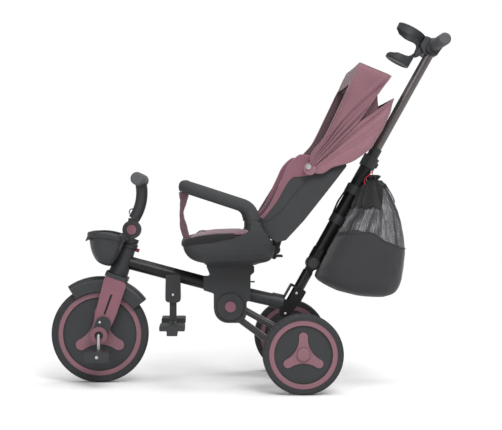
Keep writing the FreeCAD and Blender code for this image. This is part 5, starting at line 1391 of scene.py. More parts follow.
class SeatSides:
    """The seat's two sides, which rise at the rear without a step into the feet of the safety bar."""

    FRONT = ((322, 390), (328, 360), (336, 346), (345, 328), (355, 306), (362, 294), (367, 290), (370, 300),
             (373, 331), (380, 347), (384.6, 362), (388, 371), (393, 377), (400, 379), (415, 379))
    REAR = ((322, 428), (330, 436), (340, 437), (350, 435), (371, 434.5), (381.6, 430), (393, 421),
            (407, 413.5), (415, 411))
    SHELL = ((318, 124), (320, 127.6), (325, 135), (330, 140.2), (340, 146.7), (350, 150.3), (360, 151.5),
             (372, 152.5))
    INNER = 134.0
    OUTER = 166.0
    LOW = 322.0
    RISE = 3.1

    def outer(self, x: float, z: float) -> float:
        """How far the side stands out at a place.

        Args:
            x: millimetres from the front axle, to the rear.
            z: millimetres above the floor.

        Returns:
            The distance from the middle plane.
        """
        half = table(self.SHELL, z)
        if z <= 360:
            gap = max(0.0, x - 406.0)
            half -= 40.0 - sqrt(max(0.0, 1600.0 - gap * gap))
        lift = smooth_step((z - 336) / 62) * smooth_step((x - 306) / 60)
        return half + 0.5 + (self.OUTER - half - 0.5) * lift

    def build(self, material: Material) -> None:
        """Makes both sides in place of the posts' feet.

        Args:
            material: the material to show.
        """
        levels = [self.LOW + self.RISE * k for k in range(31)]
        for side, word in SIDES:
            rows = []
            for z in levels:
                front, rear = table(self.FRONT, z), table(self.REAR, z)
                edge = 1.0 + 8.0 * smooth_step((z - 366) / 10)
                back = 2.0 + 9.0 * smooth_step((z - 345) / 15)
                ring = [(front + 1.0, self.INNER)]
                for k in range(7):
                    a = radians(90 * k / 6)
                    x = front + edge * (1 - cos(a))
                    ring.append((x, self.outer(front + edge, z) - edge * (1 - sin(a))))
                for k in range(1, 14):
                    x = front + edge + (rear - back - front - edge) * k / 14
                    ring.append((x, self.outer(x, z)))
                for k in range(7):
                    a = radians(90 * k / 6)
                    x = rear - back + back * sin(a)
                    ring.append((x, self.outer(rear - back, z) - back * (1 - cos(a))))
                ring.append((rear - 1.0, self.INNER))
                rows.append([at(x, side * y, z) for x, y in ring])
            top = rows[-1]
            mid = sum(top, Vector()) / len(top)
            rows.append([p.lerp(mid, 0.06) + Vector((0, 0, mm(1.2))) for p in top])
            cheek = Piece("seat_side_" + word)
            cheek.shell(rows)
            cheek.finish(material, "seat", "dark_plastic", levels=1)
        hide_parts("armrest_posts")


@dataclass
class Backrest:
    """Soft lining of the backrest bucket: the rear pad, two wing pads and their edge."""
    x = 449.0
    z = 366.0
    lean = 42.7
    high: float = 236.0
    low: float = 10.0
    half_y: float = 118.0
    thick: float = 17.0
    wing_inside: float = 131.2
    wing_middle: float = 127.0
    wing_outside: float = 122.4
    seam_half: float = 130.3

    def build(self, finishes: "Finishes") -> None:
        """Makes the pad, the wings' cloth and their seams.

        Args:
            finishes: the tricycle's materials.
        """
        rows = []
        count = 60
        for depth, draw in ((7.5, 5), (8.5, 1.5), (14, 0), (self.thick + 3, 2.5), (self.thick + 7, 9)):
            rows.append(self.ring(draw, depth, count))
        pad = Piece("back_lining")
        for k in range(1, 5):
            rows.append(self.ring(9 + k * 16, self.thick + 7 + k * 0.9, count))
        pad.shell(rows)
        cushion = pad.finish(finishes.pad, None, "pad_fabric")
        swell(cushion, cap=7.0)
        lean = radians(self.lean)
        way = Vector((-cos(lean), 0, sin(lean)))
        base = at(self.x, 0, self.z)
        along = Vector((sin(lean), 0, cos(lean)))
        for vert in cushion.data.vertices:
            off = vert.co - base
            if off.dot(way) > mm(self.thick):
                y = abs(vert.co.y) * PER_METRE
                up = off.dot(along) * PER_METRE
                inside = smooth_step((up - 26) / 10) * smooth_step((self.high - 16 - up) / 10)
                groove = exp(-((y - 55) / 3.5) ** 2) * inside
                cross = max(exp(-((up - at_up) / 3.5) ** 2) for at_up in (92.0, 160.0))
                cross *= smooth_step((58 - y) / 8)
                vert.co -= way * mm(6.0 * max(groove, cross))
                vert.co += way * mm(1.0) * noise.noise(vert.co * 26.0)
        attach(cushion, "backrest")
        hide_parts("back_pad")
        for side, name in SIDES:
            self.wing(side, name, finishes.wing)
            self.seam(side, name, finishes.shell)

    def ring(self, draw: float, ahead: float, count: int) -> list[Vector]:
        """A rounded outline of the pad at a height above the rear face.

        Args:
            draw: how far the outline is drawn in.
            ahead: the height above the rear face.
            count: how many points.

        Returns:
            The points.
        """
        middle = (self.high + self.low) / 2
        half_up = (self.high - self.low) / 2 - draw
        half_y = self.half_y - draw
        points = []
        for k in range(count):
            a = tau * k / count
            c, s = cos(a), sin(a)
            y = copysign(abs(c) ** 0.42, c) * half_y
            up = copysign(abs(s) ** 0.42, s) * half_up
            points.append(reclined(middle + up, ahead, y))
        return points

    OUTER = ((18, 71), (54, 74), (95, 85), (136, 98), (155, 104.5), (171, 107), (191, 106), (204, 100),
             (222, 72), (244, 40))
    INNER = ((20, 63), (70, 67), (98, 73), (132, 80.5), (149, 78), (158, 70), (166, 63), (178, 54),
             (205, 40), (236, 22))

    def wing(self, side: int, name: str, cloth: Material) -> None:
        """The cloth that wraps a wing's edge from the inside to the outside.

        Args:
            side: -1 for the near side and 1 for the far side.
            name: the side's word.
            cloth: the cloth.
        """
        outer = [Vector(p) for p in spline(self.OUTER, 40)]
        inner = [Vector(p) for p in spline(self.INNER, 40)]
        rows = []
        for j in range(40):
            tip, foot = outer[j], inner[j]
            way = (tip - foot)
            reach = way.length
            way.normalize()
            row = []
            for k in range(6):
                share = k / 5
                p = foot.lerp(tip - way * 3.0, share)
                lift = self.wing_inside + 1.6 * sin(pi * min(1.0, share * 1.2)) * min(1.0, reach / 12)
                row.append(reclined(p.x, p.y, side * lift))
            for k in range(1, 6):
                a = pi * k / 5
                p = tip + way * (2.2 * sin(a))
                row.append(reclined(p.x, p.y, side * (self.wing_middle + 4.6 * cos(a))))
            inside = foot.lerp(tip, 0.1)
            for k in range(1, 5):
                p = tip.lerp(inside, k / 4)
                row.append(reclined(p.x, p.y, side * (self.wing_outside - 0.6 * sin(pi * k / 4))))
            rows.append(row)
        trim = Piece("wing_trim_" + name)
        trim.grid(rows)
        area = trim.area()
        piece = trim.finish(cloth, "backrest", "pad_fabric", thick=1.4, levels=1)
        length = length_of([row[5] for row in rows])
        area / length * 1.15

    SEAM = ((184, 51), (154, 48.3), (113, 48), (80, 44.5), (38, 48), (14, 60))

    def seam(self, side: int, name: str, cloth: Material) -> None:
        """The raised seam line down the outside of a wing.

        Args:
            side: -1 for the near side and 1 for the far side.
            name: the side's word.
            cloth: the cloth.
        """
        line = [reclined(p.x, p.y, side * self.seam_half) for p in spline(self.SEAM, 40)]
        ridge = Piece("wing_seam_" + name)
        ridge.tube(line, mm(1.5), sides=8, flatten=0.6)
        ridge.finish(cloth, "backrest", "dark_plastic")


@dataclass
class SafetyStrap:
    """Padded strap that hangs from the safety bar's front to the cushion, with a loop round the bar."""
    bar_x: float = 221.0
    bar_r: float = 17.4
    wide: float = 33.0
    top_to_bar: float = 19.0

    LINE = ((217.5, 492.0, 27.0), (216.8, 482.0, 24.5), (215.5, 466.0, 18.0), (212.2, 449.0, 12.5),
            (211.0, 437.0, 11.0), (212.0, 425.0, 12.5), (214.5, 411.0, 17.5), (216.5, 400.0, 19.5),
            (219.7, 388.0, 19.0), (224.0, 375.0, 17.0), (227.0, 368.0, 12.0))

    def build(self, cloth: Material, trim: Material, top: float) -> list[Object]:
        """Makes the loop and the padded tail.

        Args:
            cloth: the webbing of the loop.
            trim: the padded sleeve's cloth.
            top: the height of the CAD strap's top, in metres.

        Returns:
            The loop and the tail.
        """
        centre_z = top * PER_METRE - self.top_to_bar
        loop = Piece("safety_strap_loop")
        rows = []
        for k in range(25):
            a = radians(-58 + 296 * k / 24)
            r = self.bar_r + 0.5 * sin(k * 0.9)
            rows.append([at(self.bar_x + r * cos(a), y, centre_z + r * sin(a))
                         for y in (-17, -12, -6, 0, 6, 12, 17)])
        loop.grid(rows)
        band = loop.finish(cloth, "safety_guard", "seat_fabric", thick=2.0, levels=1)
        path = spline([(x, z) for x, z, _ in self.LINE], 46)
        sleeve = Piece("safety_strap")
        rows = []
        for i, p in enumerate(path):
            share = i / 45
            ahead = path[min(i + 1, 45)] - path[max(i - 1, 0)]
            normal = Vector((ahead.y, -ahead.x)).normalized()
            if normal.x > 0:
                normal = -normal
            deep = table(sorted((z, w) for _, z, w in self.LINE), p.y) + 0.5 * sin(share * 31)
            narrow = 0.86 + 0.1 * sin(share * 7 + 1) + 0.03 * sin(share * 37)
            row = []
            for k in range(28):
                a = tau * k / 28
                y = copysign(abs(cos(a)) ** 0.7, cos(a)) * self.wide / 2 * narrow
                out = copysign(abs(sin(a)) ** 0.8, sin(a)) * deep / 2
                out += 0.5 * noise.noise(Vector((share * 14, cos(a), 2.0)))
                row.append(at(p.x + normal.x * out, y, p.y + normal.y * out))
            rows.append(row)
        sleeve.shell(rows)
        piece = sleeve.finish(trim, "safety_guard", "seat_fabric", levels=1)
        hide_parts("crotch_strap")
        return [band, piece]


@dataclass
class Bag:
    """Bag behind the push bar: a cloth bottom that sags, a net top gathered to a neck, and its ties.

    slant is how much longer a level cut through the leaning tube is than the tube is wide.
    """
    around: int = 108
    low: float = 226.0
    neck: float = 523.0
    bar_room: float = 21.0
    slant: float = 1.145
    bar_leaves: float = 500.0
    folded_lean: float = 0.06
    rows: tuple = (
        # height, front, rear, half width
        (226, 650, 736, 76), (229, 622, 748, 94), (236, 598, 760, 106), (246, 578, 769, 113),
        (258, 564, 775, 116.5), (270, 559, 779, 117.5), (299, 568, 783, 117.5), (336, 588, 786.5, 117),
        (351, 596, 786, 116), (366, 604, 784, 114), (411, 629, 777, 106), (440, 646, 771, 92),
        (458, 652, 765, 80), (477, 660, 758.5, 64), (496, 668, 749, 47), (512, 680, 738, 31),
        (519, 689, 729, 21), (524, 695, 721, 15),
    )
    seam: tuple = ((570, 376), (598, 383), (630, 385.5), (666, 390.5), (685, 389), (714, 373), (742, 360),
                   (771, 349.5), (790, 346))
    ruffle: tuple = ((520, 0.92), (523, 0.75), (526, 0.85), (530, 1.15), (535, 1.3), (537.5, 0.7))

    def size(self, z: float) -> list[float]:
        """The front, rear and half width at a height.

        Args:
            z: millimetres above the floor.

        Returns:
            The three sizes.
        """
        for low, high in zip(self.rows, self.rows[1:]):
            if z <= high[0]:
                t = smooth_step((z - low[0]) / (high[0] - low[0])) * 0.35
                t += 0.65 * (z - low[0]) / (high[0] - low[0])
                return [a + (b - a) * t for a, b in zip(low[1:], high[1:])]
        return list(self.rows[-1][1:])

    def point(self, k: int, z: float, out: float = 0.0) -> Vector:
        """A point of the bag's skin by its place round the bag and its height.

        Args:
            k: the place round the bag, as a count.
            z: millimetres above the floor.
            out: how far it stands out, in millimetres.

        Returns:
            The point.
        """
        turn = tau * k / self.around
        front, rear, half = self.size(z)
        c, s = cos(turn), sin(turn)
        soft = 0.58 + 0.36 * smooth_step((z - 400) / 110)
        x = copysign(abs(c) ** soft, c)
        y = copysign(abs(s) ** soft, s)
        gather = smooth_step((z - 372) / 110)
        fold = 0.5 + 0.5 * sin(turn * 13 + 2.2 * sin(turn * 3) + z * 0.012)
        fold = fold ** 1.6
        dent = 0.5 + 0.5 * noise.noise(Vector((c * 2.1, s * 2.1, z * 0.012)))
        crease = 0.5 + 0.5 * noise.noise(Vector((c * 5.5 + 9.0, s * 5.5, z * 0.035)))
        inward = gather * (0.16 * fold + 0.05 * dent) + (1 - gather) * (0.03 * dent + 0.018 * crease)
        base = smooth_step((z - self.low) / 26)
        grow = 1.0 - inward * (0.35 + 0.65 * base)
        middle = (front + rear) / 2
        half_x = (rear - front) / 2
        x = middle + x * (half_x * (grow if x > 0 else 1 - inward * 0.4) + out)
        y = y * (half * grow + out)
        room = self.bar_room
        if abs(y) < room and z < self.bar_leaves:
            lean = tan(BAR_LEAN) if z > BAR_Z else self.folded_lean
            edge = self.slant * sqrt(room * room - y * y)
            x = max(x, BAR_X + (z - BAR_Z) * lean + edge - 1.0)
        tilt = 11.0 * smooth_step((720 - x) / 170) * (1 - smooth_step((z - 232) / 60))
        return at(x, y, z + tilt)

    def seam_height(self, k: int) -> float:
        """The wavy height of the seam between cloth and net.

        Args:
            k: the place round the bag, as a count.

        Returns:
            The height.
        """
        spot = self.point(k, 370.0)
        x = spot.x * PER_METRE - SHIFT_X
        heights = spline(self.seam, 80)
        near = min(heights, key=lambda p: abs(p.x - x))
        return near.y + 1.6 * noise.noise(Vector((k * 0.23, 0.0, 3.0)))

    def band(self, name: str, low: Callable, high: Callable, steps: int, out: float = 0.0) -> tuple:
        """A skin round the bag between two heights.

        Args:
            name: the piece's name.
            low: gives the low edge's height at a place round the bag.
            high: gives the high edge's height.
            steps: rows from low to high.
            out: how far it stands out, in millimetres.

        Returns:
            The piece and its vertices.
        """
        rows = []
        for j in range(steps + 1):
            share = j / steps
            rows.append([self.point(k, low(k) + (high(k) - low(k)) * share, out) for k in range(self.around)])
        piece = Piece(name)
        return piece, piece.grid(rows, closed=True)

    def build(self, finishes: "Finishes") -> None:
        """Makes the cloth, the net and the ties.

        Args:
            finishes: the tricycle's materials.
        """
        bottom, verts = self.band("bag_cloth", lambda k: self.low, self.seam_height, 22)
        bottom.cap(verts[0][::-1])
        area = bottom.area()
        sack = bottom.finish(finishes.bag, "push_bar", "bag_fabric", thick=1.4)
        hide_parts("bag_bottom")
        seam = Piece("bag_seam")
        line = [self.point(k, self.seam_height(k), 0.8) for k in range(self.around)]
        seam.tube(line, mm(1.9), sides=8, closed=True)
        seam_band = seam.finish(finishes.bag, "push_bar", "bag_fabric")
        girth = length_of(line + line[:1])
        area / girth * 1.1
        area * 1.01
        top, _ = self.band("bag_net", self.seam_height, lambda k: self.neck, 34)
        area = top.area()
        mesh = top.finish(finishes.net, "push_bar", "bag_net", thick=0.6)
        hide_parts("bag_mesh")
        tape = finishes.lining
        parts = [self.cuff(tape), self.knot(tape), self.strap(tape)]
        parts += self.loops(tape)
        area / girth * 1.15
        area * 1.01
        self.red_cord(finishes.red_cord)

    def cuff(self, cloth: Material) -> Object:
        """The crumpled cloth mouth that hangs over the front of the net.

        Args:
            cloth: the cloth.

        Returns:
            The mouth.
        """
        def low(k: int) -> float:
            """The mouth's lower edge, which hangs deepest at the front."""
            x = self.point(k, 480.0).x * PER_METRE - SHIFT_X
            return 506 - 55 * smooth_step((738 - x) / 26) + 4 * sin(k * 0.9)

        rows = []
        for j in range(15):
            share = j / 14
            row = []
            for k in range(self.around):
                z = low(k) + (self.neck + 1 - low(k)) * share
                spot = self.point(k, z)
                crumple = 2.6 + 3.2 * abs(noise.noise(spot * 55.0)) + 1.6 * noise.noise(spot * 120.0)
                row.append(self.point(k, z, max(1.2, crumple * (1.25 - 0.6 * share))))
            rows.append(row)
        piece = Piece("bag_cuff")
        piece.grid(rows, closed=True)
        return piece.finish(cloth, "push_bar", "bag_fabric", thick=1.4, levels=1)

    def knot(self, cloth: Material) -> Object:
        """The tied neck with its short ruffle.

        Args:
            cloth: the cloth.

        Returns:
            The knot.
        """
        piece = Piece("bag_knot")
        rows = []
        for j, (z, r) in enumerate(self.ruffle):
            front, rear, half = self.size(522)
            middle = (front + rear) / 2 - 1
            row = []
            for k in range(48):
                turn = tau * k / 48
                wave = 1 + (0.16 if j > 1 else 0.05) * sin(turn * 9 + j * 0.7)
                row.append(at(middle + (rear - front) / 2 * r * wave * cos(turn),
                              half * r * wave * sin(turn), z))
            rows.append(row)
        piece.shell(rows)
        return piece.finish(cloth, "push_bar", "bag_fabric", levels=1)

    def strap(self, tape: Material) -> Object:
        """A flat tape down the rear of the net from the knot.

        Args:
            tape: the tape.

        Returns:
            The tape.
        """
        rows = []
        for z in (523, 515, 505, 492, 478, 466):
            _, rear, _ = self.size(min(z, 521))
            rows.append([at(rear + 2.5, y, z) for y in (-5, -2.5, 0, 2.5, 5)])
        piece = Piece("bag_strap")
        piece.grid(rows)
        return piece.finish(tape, "push_bar", "cord_fibre", thick=1.6)

    def loops(self, tape: Material) -> list[Object]:
        """Two small tape loops that hang the bag from the bar's collar.

        Args:
            tape: the tape.

        Returns:
            Both loops.
        """
        parts = []
        for side, name in SIDES:
            points = [bar_frame(17, side * 9, 214), bar_frame(26, side * 9, 219),
                      bar_frame(33, side * 8, 214), at(694, side * 7, 524), at(700, side * 6, 521)]
            piece = Piece("bag_loop_" + name)
            piece.tube(spline(points, 24), mm(2.0), sides=8, flatten=0.6)
            parts.append(piece.finish(tape, "push_bar", "cord_fibre"))
        return parts

    def red_cord(self, material: Material) -> None:
        """The red drawstring from the clamp's ring to the neck.

        Args:
            material: the material to show.
        """
        points = [bar_frame(19.5, -3, 283), bar_frame(24, -5, 274), bar_frame(22, -8, 262),
                  bar_frame(27, -9, 250), at(704, -9, 534), at(702, -10, 526)]
        free_cord("bag_drawstring", points, 2.2, material, "push_bar")
        end = Piece("drawstring_end")
        path = [bar_frame(20, -4, 284), at(704, -13, 545), at(695, -18.5, 536), at(686, -21, 528),
                at(682.5, -22.5, 518), at(687, -22.5, 508)]
        end.tube(spline(path, 30), mm(1.2), sides=8)
        end.finish(material, "push_bar", "cord_fibre")


def free_cord(name: str, points: Sequence, diameter: float, material: Material, body: str,
              replaces: str | None = None) -> Object:
    """A cord on one smooth curve.

    Args:
        name: the piece's name.
        points: the route's control points.
        diameter: in millimetres.
        material: the material to show.
        body: the body that it rides on.
        replaces: the CAD node that it stands for, or None.

    Returns:
        The curve object.
    """
    data = bpy.data.curves.new(name, "CURVE")
    data.dimensions = "3D"
    line = data.splines.new("NURBS")
    line.points.add(len(points) - 1)
    for target, source in zip(line.points, points):
        target.co = (*source, 1.0)
    line.order_u = 3
    line.use_endpoint_u = True
    line.resolution_u = 12
    data.bevel_resolution = 3
    data.use_fill_caps = True
    obj = add(name, data)
    bpy.context.view_layer.update()
    path = obj.to_mesh()
    obj.to_mesh_clear()
    data.bevel_depth = mm(diameter / 2)
    data.materials.append(material)
    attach(obj, body)
    if replaces:
        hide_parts(replaces)
    mm(diameter)
    return obj


class BarCords:
    """The two thin cords along the front of the push bar."""

    ROUTE = ((-18.0, 1.0, 205.0), (-19.5, 1.0, 189.25), (-21.0, 1.2, 173.5), (-19.5, 1.0, 157.75),
             (-18.0, 1.0, 142.0))

    def build(self, material: Material) -> None:
        """Makes both cords.

        Args:
            material: the material to show.
        """
        for side, name in SIDES:
            points = [bar_frame(out, side * 8.25 * wide, up) for out, wide, up in self.ROUTE]
            free_cord("bar_cord_" + name, points, 3.0, material, "push_bar",
                      replaces="push_bar_cords")


class Rivets:
    """The domed steel rivet heads on the fork, footrest and rear bracket, on both sides."""

    PLACES = (
        ("fork", "steering", 2.3, 159.3, "fork_end_caps"),
        ("foot_bracket", "frame", 189.0, 227.0, "footrest_bracket"),
        ("bracket_upper", "frame", 508.3, 230.8, "push_bracket"),
        ("bracket_lower", "frame", 479.1, 178.6, "push_bracket"),
    )
    RADIUS = 3.2
    HIGH = 0.7

    def build(self, material: Material) -> None:
        """Makes a head on each face.

        Args:
            material: the material to show.
        """
        profile = [(0.3, -0.8), (self.RADIUS, -0.8), (self.RADIUS, 0.2)]
        for k in range(1, 7):
            a = radians(90 * k / 6)
            profile.append((max(self.RADIUS * cos(a), 0.15), 0.2 + self.HIGH * sin(a)))
        for name, body, x, z, node in self.PLACES:
            low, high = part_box(node)
            for y, word in ((low[1], "near"), (high[1], "far")):
                head = Piece("rivet_%s_%s" % (name, word))
                head.spun(profile, at(x, y * PER_METRE, z), (0, copysign(1.0, y), 0), steps=24)
                head.finish(material, body, "bare_steel")


# Moulded pieces


def inset_ring(points: Sequence, draw: float) -> list[Vector]:
    """A closed outline of 2-D points drawn in by an amount along its own normals.

    Args:
        points: the points of the line.
        draw: how far the outline is drawn in.

    Returns:
        The new outline.
    """
    count = len(points)
    ring = []
    for k, p in enumerate(points):
        way = points[(k + 1) % count] - points[k - 1]
        ring.append(p + Vector((-way.y, way.x)).normalized() * draw)
    return ring


def slab(name: str, outline: Sequence, half_y: float, edge: float, place: Callable, count: int = 72,
         middle: float = 0.0, draft: float = 0.0) -> Piece:
    """A moulded block: a closed outline seen from the side, with rounded near and far edges.

    Args:
        name: the piece's name.
        outline: the outline's corners, anticlockwise, as pairs.
        half_y: half the width.
        edge: the radius of the rounded edges.
        place: the function that puts (a, y, b) in the scene.
        count: points round the outline.
        middle: the width's centre.
        draft: how far the outline draws in from the middle to the edge.

    Returns:
        The unfinished piece.
    """
    ring = even(spline(list(outline) + [outline[0]], count * 3), count + 1)[:-1]
    rows = []
    stops = []
    for k in range(6):
        a = radians(90 * k / 5)
        stops.append((-half_y + edge * (1 - sin(a)), edge * (1 - cos(a)) + draft))
    steps = [(-y, d) for y, d in reversed(stops)]
    stops = sorted(stops) + [(0.0, 0.0)] + sorted(steps)
    for y, draw in stops:
        rows.append([place(p.x, middle + y, p.y) for p in inset_ring(ring, draw)])
    piece = Piece(name)
    piece.shell(rows)
    return piece


def table(pairs: Sequence, value: float) -> float:
    """Straight-line reading of a table of (key, value) pairs, sorted by key.

    Args:
        pairs: pairs of key and value, sorted by key.
        value: the key to read at.

    Returns:
        The value there.
    """
    if value <= pairs[0][0]:
        return pairs[0][1]
    for (a, low), (b, high) in zip(pairs, pairs[1:]):
        if value <= b:
            return low + (high - low) * smooth_step((value - a) / (b - a))
    return pairs[-1][1]


class CupHolder:
    """Cup ring and tray in one moulding with a curved opening between them, on a boss at its rear."""

    RING = (-70.2, 36.0, 653.5)
    TRAY = (-64.4, 31.6, 563.5)
    RING_LOW = ((10, 600), (14, 610), (20, 620), (30, 626), (40, 630), (56, 632), (89, 631.5), (120, 633.5),
                (150, 639), (180, 641))
    TRAY_HIGH = ((12, 612), (18, 607), (28, 603), (38, 598), (48, 591), (60, 586), (79, 583), (105, 581.5),
                 (136, 576), (180, 571))

    def wall(self, name: str, centre: float, radius: float, far_end: float, edge: Sequence) -> Piece:
        """A round wall whose second edge follows a table of angle and height.

        Args:
            name: the piece's name.
            centre: how far the wall's centre is behind the bar.
            radius: the radius.
            far_end: the height of the even edge.
            edge: pairs of degrees from the rear and the other edge's height.

        Returns:
            The unfinished wall.
        """
        rows = []
        for k in range(120):
            degrees = k * 3.0
            turn = min(degrees, 360 - degrees)
            a = radians(degrees)
            end = table(edge, turn)
            rows.append([bar_frame(centre + radius * cos(a), radius * sin(a),
                                   far_end + (end - far_end) * j / 9) for j in range(10)])
        rows.append(rows[0])
        wall = Piece(name)
        wall.grid(rows)
        bmesh.ops.remove_doubles(wall.mesh, verts=wall.mesh.verts[:], dist=JOIN)
        return wall

    def build(self, material: Material) -> None:
        """Makes the ring, the tray and the boss.

        Args:
            material: the material to show.
        """
        centre, radius, top = self.RING
        ring = self.wall("cup_ring", centre, radius, top, self.RING_LOW)
        ring = ring.finish(material, "push_handle", "dark_plastic", thick=3.2, levels=1)
        lip = Piece("cup_lip")
        lip.tube([bar_frame(centre + (radius + 0.3) * cos(tau * k / 48),
                            (radius + 0.3) * sin(tau * k / 48), top) for k in range(48)],
                 mm(2.3), sides=8, closed=True)
        lip.finish(material, "push_handle", "dark_plastic")
        centre, radius, low = self.TRAY
        tray = self.wall("cup_tray", centre, radius, low, self.TRAY_HIGH)
        tray = tray.finish(material, "push_handle", "dark_plastic", thick=3.0, levels=1)
        floor = Piece("cup_floor")
        profile = [(radius * 0.2, low - 1.2), (radius * 0.8, low - 1.2), (radius * 0.82, low - 2.0),
                   (radius * 0.98, low - 2.0), (radius + 1.4, low - 0.4), (radius + 0.8, low + 1.6),
                   (radius * 0.2, low + 1.6)]
        rows = [[bar_frame(centre + r * cos(tau * k / 48), r * sin(tau * k / 48), up)
                 for k in range(48)] for r, up in profile]
        floor.shell(rows)
        floor.finish(material, "push_handle", "dark_plastic")
        boss = slab("cup_boss", ((-33.5, 625), (-33.5, 598), (-28, 596), (-24, 600), (-19, 610), (-19, 640),
                                 (-33.5, 640)), 10.0, 2.5, bar_frame)
        boss = boss.finish(material, "push_handle", "dark_plastic")
        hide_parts("cup_holder")


class HandleHead:
    """Casting that joins the push bar's inner tube to the cross handle, with the cup holder's plate."""

    CAST = ((-12, 661), (-19, 655), (-19, 640), (-17, 626), (-10, 619), (8, 619), (16.5, 624), (18, 634),
            (19, 644), (20, 653), (16, 662), (8, 667), (-3, 666))
    SLEEVE = ((10, 18), (17.4, 18), (17.8, 20), (17.8, 26), (16.4, 27.5), (10, 27.5))
    HANDLE_UP = 646.5
    PLATE = ((-34, 655), (-34, 640), (-33, 626), (-13, 612), (-7, 618), (-6, 640), (-14, 656), (-24, 658))

    def build(self, material: Material) -> None:
        """Makes the casting, the plate and the sleeves.

        Args:
            material: the material to show.
        """
        cast = slab("head_casting", self.CAST, 25.0, 7.0, bar_frame)
        cast = cast.finish(material, "push_handle", "dark_plastic", levels=1)
        plate = slab("head_plate", self.PLATE, 17.0, 3.5, bar_frame)
        plate.finish(material, "push_handle", "dark_plastic", levels=1)
        for side, word in SIDES:
            rim = Piece("head_sleeve_" + word)
            rim.spun(self.SLEEVE, bar_frame(0, 0, self.HANDLE_UP), (0, side, 0), steps=48)
            rim.finish(material, "push_handle", "dark_plastic")
        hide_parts("handle_head")


class Basket:
    """Front basket: a rounded bowl with a folded rim whose arms reach back to a collar on the head tube."""

    FRONT = ((304.5, 24), (306.8, 10), (311, 0), (320.5, -11.4), (338, -19.2), (355, -23.1), (373, -25.7),
             (392, -26.5))
    REAR = ((303.5, 30), (311, 36), (327, 47), (346, 57.5), (370, 65.5), (392, 67))
    HALF = ((303.5, 52), (307, 66), (313, 74), (322, 80), (341, 85), (392, 92))
    RIM_TOP = ((-34, 388.4), (-19, 390.5), (6.5, 390.9), (22, 389.9), (37, 386.4), (52, 383), (67, 379))
    COLLAR = ((19.4, 237), (22.8, 237), (23.8, 239), (23.8, 250), (22.8, 252), (19.4, 252))
    LIP = ((-2.0, 3.0), (-1.0, 0.6), (1.5, 0.0), (4.0, 1.0), (5.0, 4.0), (4.2, 9.0))
    RIM_Z = 386
    STEPS = 96

    def spot(self, a: float, z: float, out: float = 0.0) -> tuple[float, float]:
        """A place on the bowl: a is the turn from straight ahead, and out is how far outside it.

        Args:
            a: the turn from straight ahead, in radians.
            z: millimetres above the floor.
            out: how far it stands out, in millimetres.

        Returns:
            The place's x and y.
        """
        front, rear = table(self.FRONT, z), table(self.REAR, z)
        middle = (front * 0.45 + rear * 0.55)
        half = table(self.HALF, z) + out
        c, s = cos(a), sin(a)
        x = -copysign(abs(c) ** (0.62 if c > 0 else 0.34), c)
        y = copysign(abs(s) ** (0.72 if c > 0 else 0.5), s) * half
        x = middle + (x * (middle - front + out) if x < 0 else x * (rear - middle))
        room = 27.5 if z < 364 else 31.0
        if abs(y) < room:
            axis_x = STEER_X + (z - FRONT_WHEEL_R) * tan(STEER_LEAN)
            x = min(x, axis_x - sqrt(room * room - y * y) / cos(STEER_LEAN))
        return x, y

    def top(self, x: float) -> float:
        """The rim's height at a place."""
        return table(self.RIM_TOP, x)

    def build(self, material: Material) -> None:
        """Makes the bowl, the rim and the collar.

        Args:
            material: the material to show.
        """
        levels = (304.2, 305, 307, 311, 317, 326, 338, 352, 364, 374)
        rows = []
        for z in levels:
            rows.append([at(*self.spot(tau * k / self.STEPS, z), z) for k in range(self.STEPS)])
        upper = []
        for k in range(self.STEPS):
            x, y = self.spot(tau * k / self.STEPS, self.RIM_Z)
            upper.append(at(x, y, self.top(x) - 1.5))
        rows.append(upper)
        bowl = Piece("basket_bowl")
        verts = bowl.grid(rows, closed=True)
        bowl.cap(verts[0][::-1])
        bowl = bowl.finish(material, "frame", "dark_plastic", thick=3.0, levels=1)
        rim = Piece("basket_rim")
        rows = []
        for k in range(self.STEPS):
            a = tau * k / self.STEPS
            ahead = smooth_step((cos(a) - 0.55) / 0.35)
            row = []
            apron = ((3.8 + 3.0 * ahead, 13.0 + 2.0 * ahead), (3.4 + 7.0 * ahead, 14.5 + 7.5 * ahead))
            for out, drop in self.LIP + apron:
                x, y = self.spot(a, self.RIM_Z, out)
                row.append(at(x, y, self.top(x) - drop))
            rows.append(row)
        rows.append(rows[0])
        rim.grid(rows)
        bmesh.ops.remove_doubles(rim.mesh, verts=rim.mesh.verts[:], dist=JOIN)
        rim = rim.finish(material, "frame", "dark_plastic", thick=2.2, levels=1)
        self.collar(material)
        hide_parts("basket")

    def collar(self, material: Material) -> None:
        """The ring round the head tube's top that carries the basket's rim.

        Args:
            material: the material to show.
        """
        axis = Vector((sin(STEER_LEAN), 0, cos(STEER_LEAN)))
        foot = at(STEER_X, 0, FRONT_WHEEL_R)
        ring = Piece("basket_collar")
        ring.spun(self.COLLAR, foot, axis, steps=56)
        ring.finish(material, "frame", "dark_plastic")
        for side, word in SIDES:
            arm = Piece("basket_arm_" + word)
            line = spline([(56, side * 82, 381), (63, side * 66, 378), (68, side * 46, 373),
                           (74, side * 29, 367), (83, side * 23.5, 361)], 24)
            arm.tube([at(*p) for p in line], mm(5.5), sides=12)
            arm.finish(material, "frame", "dark_plastic")


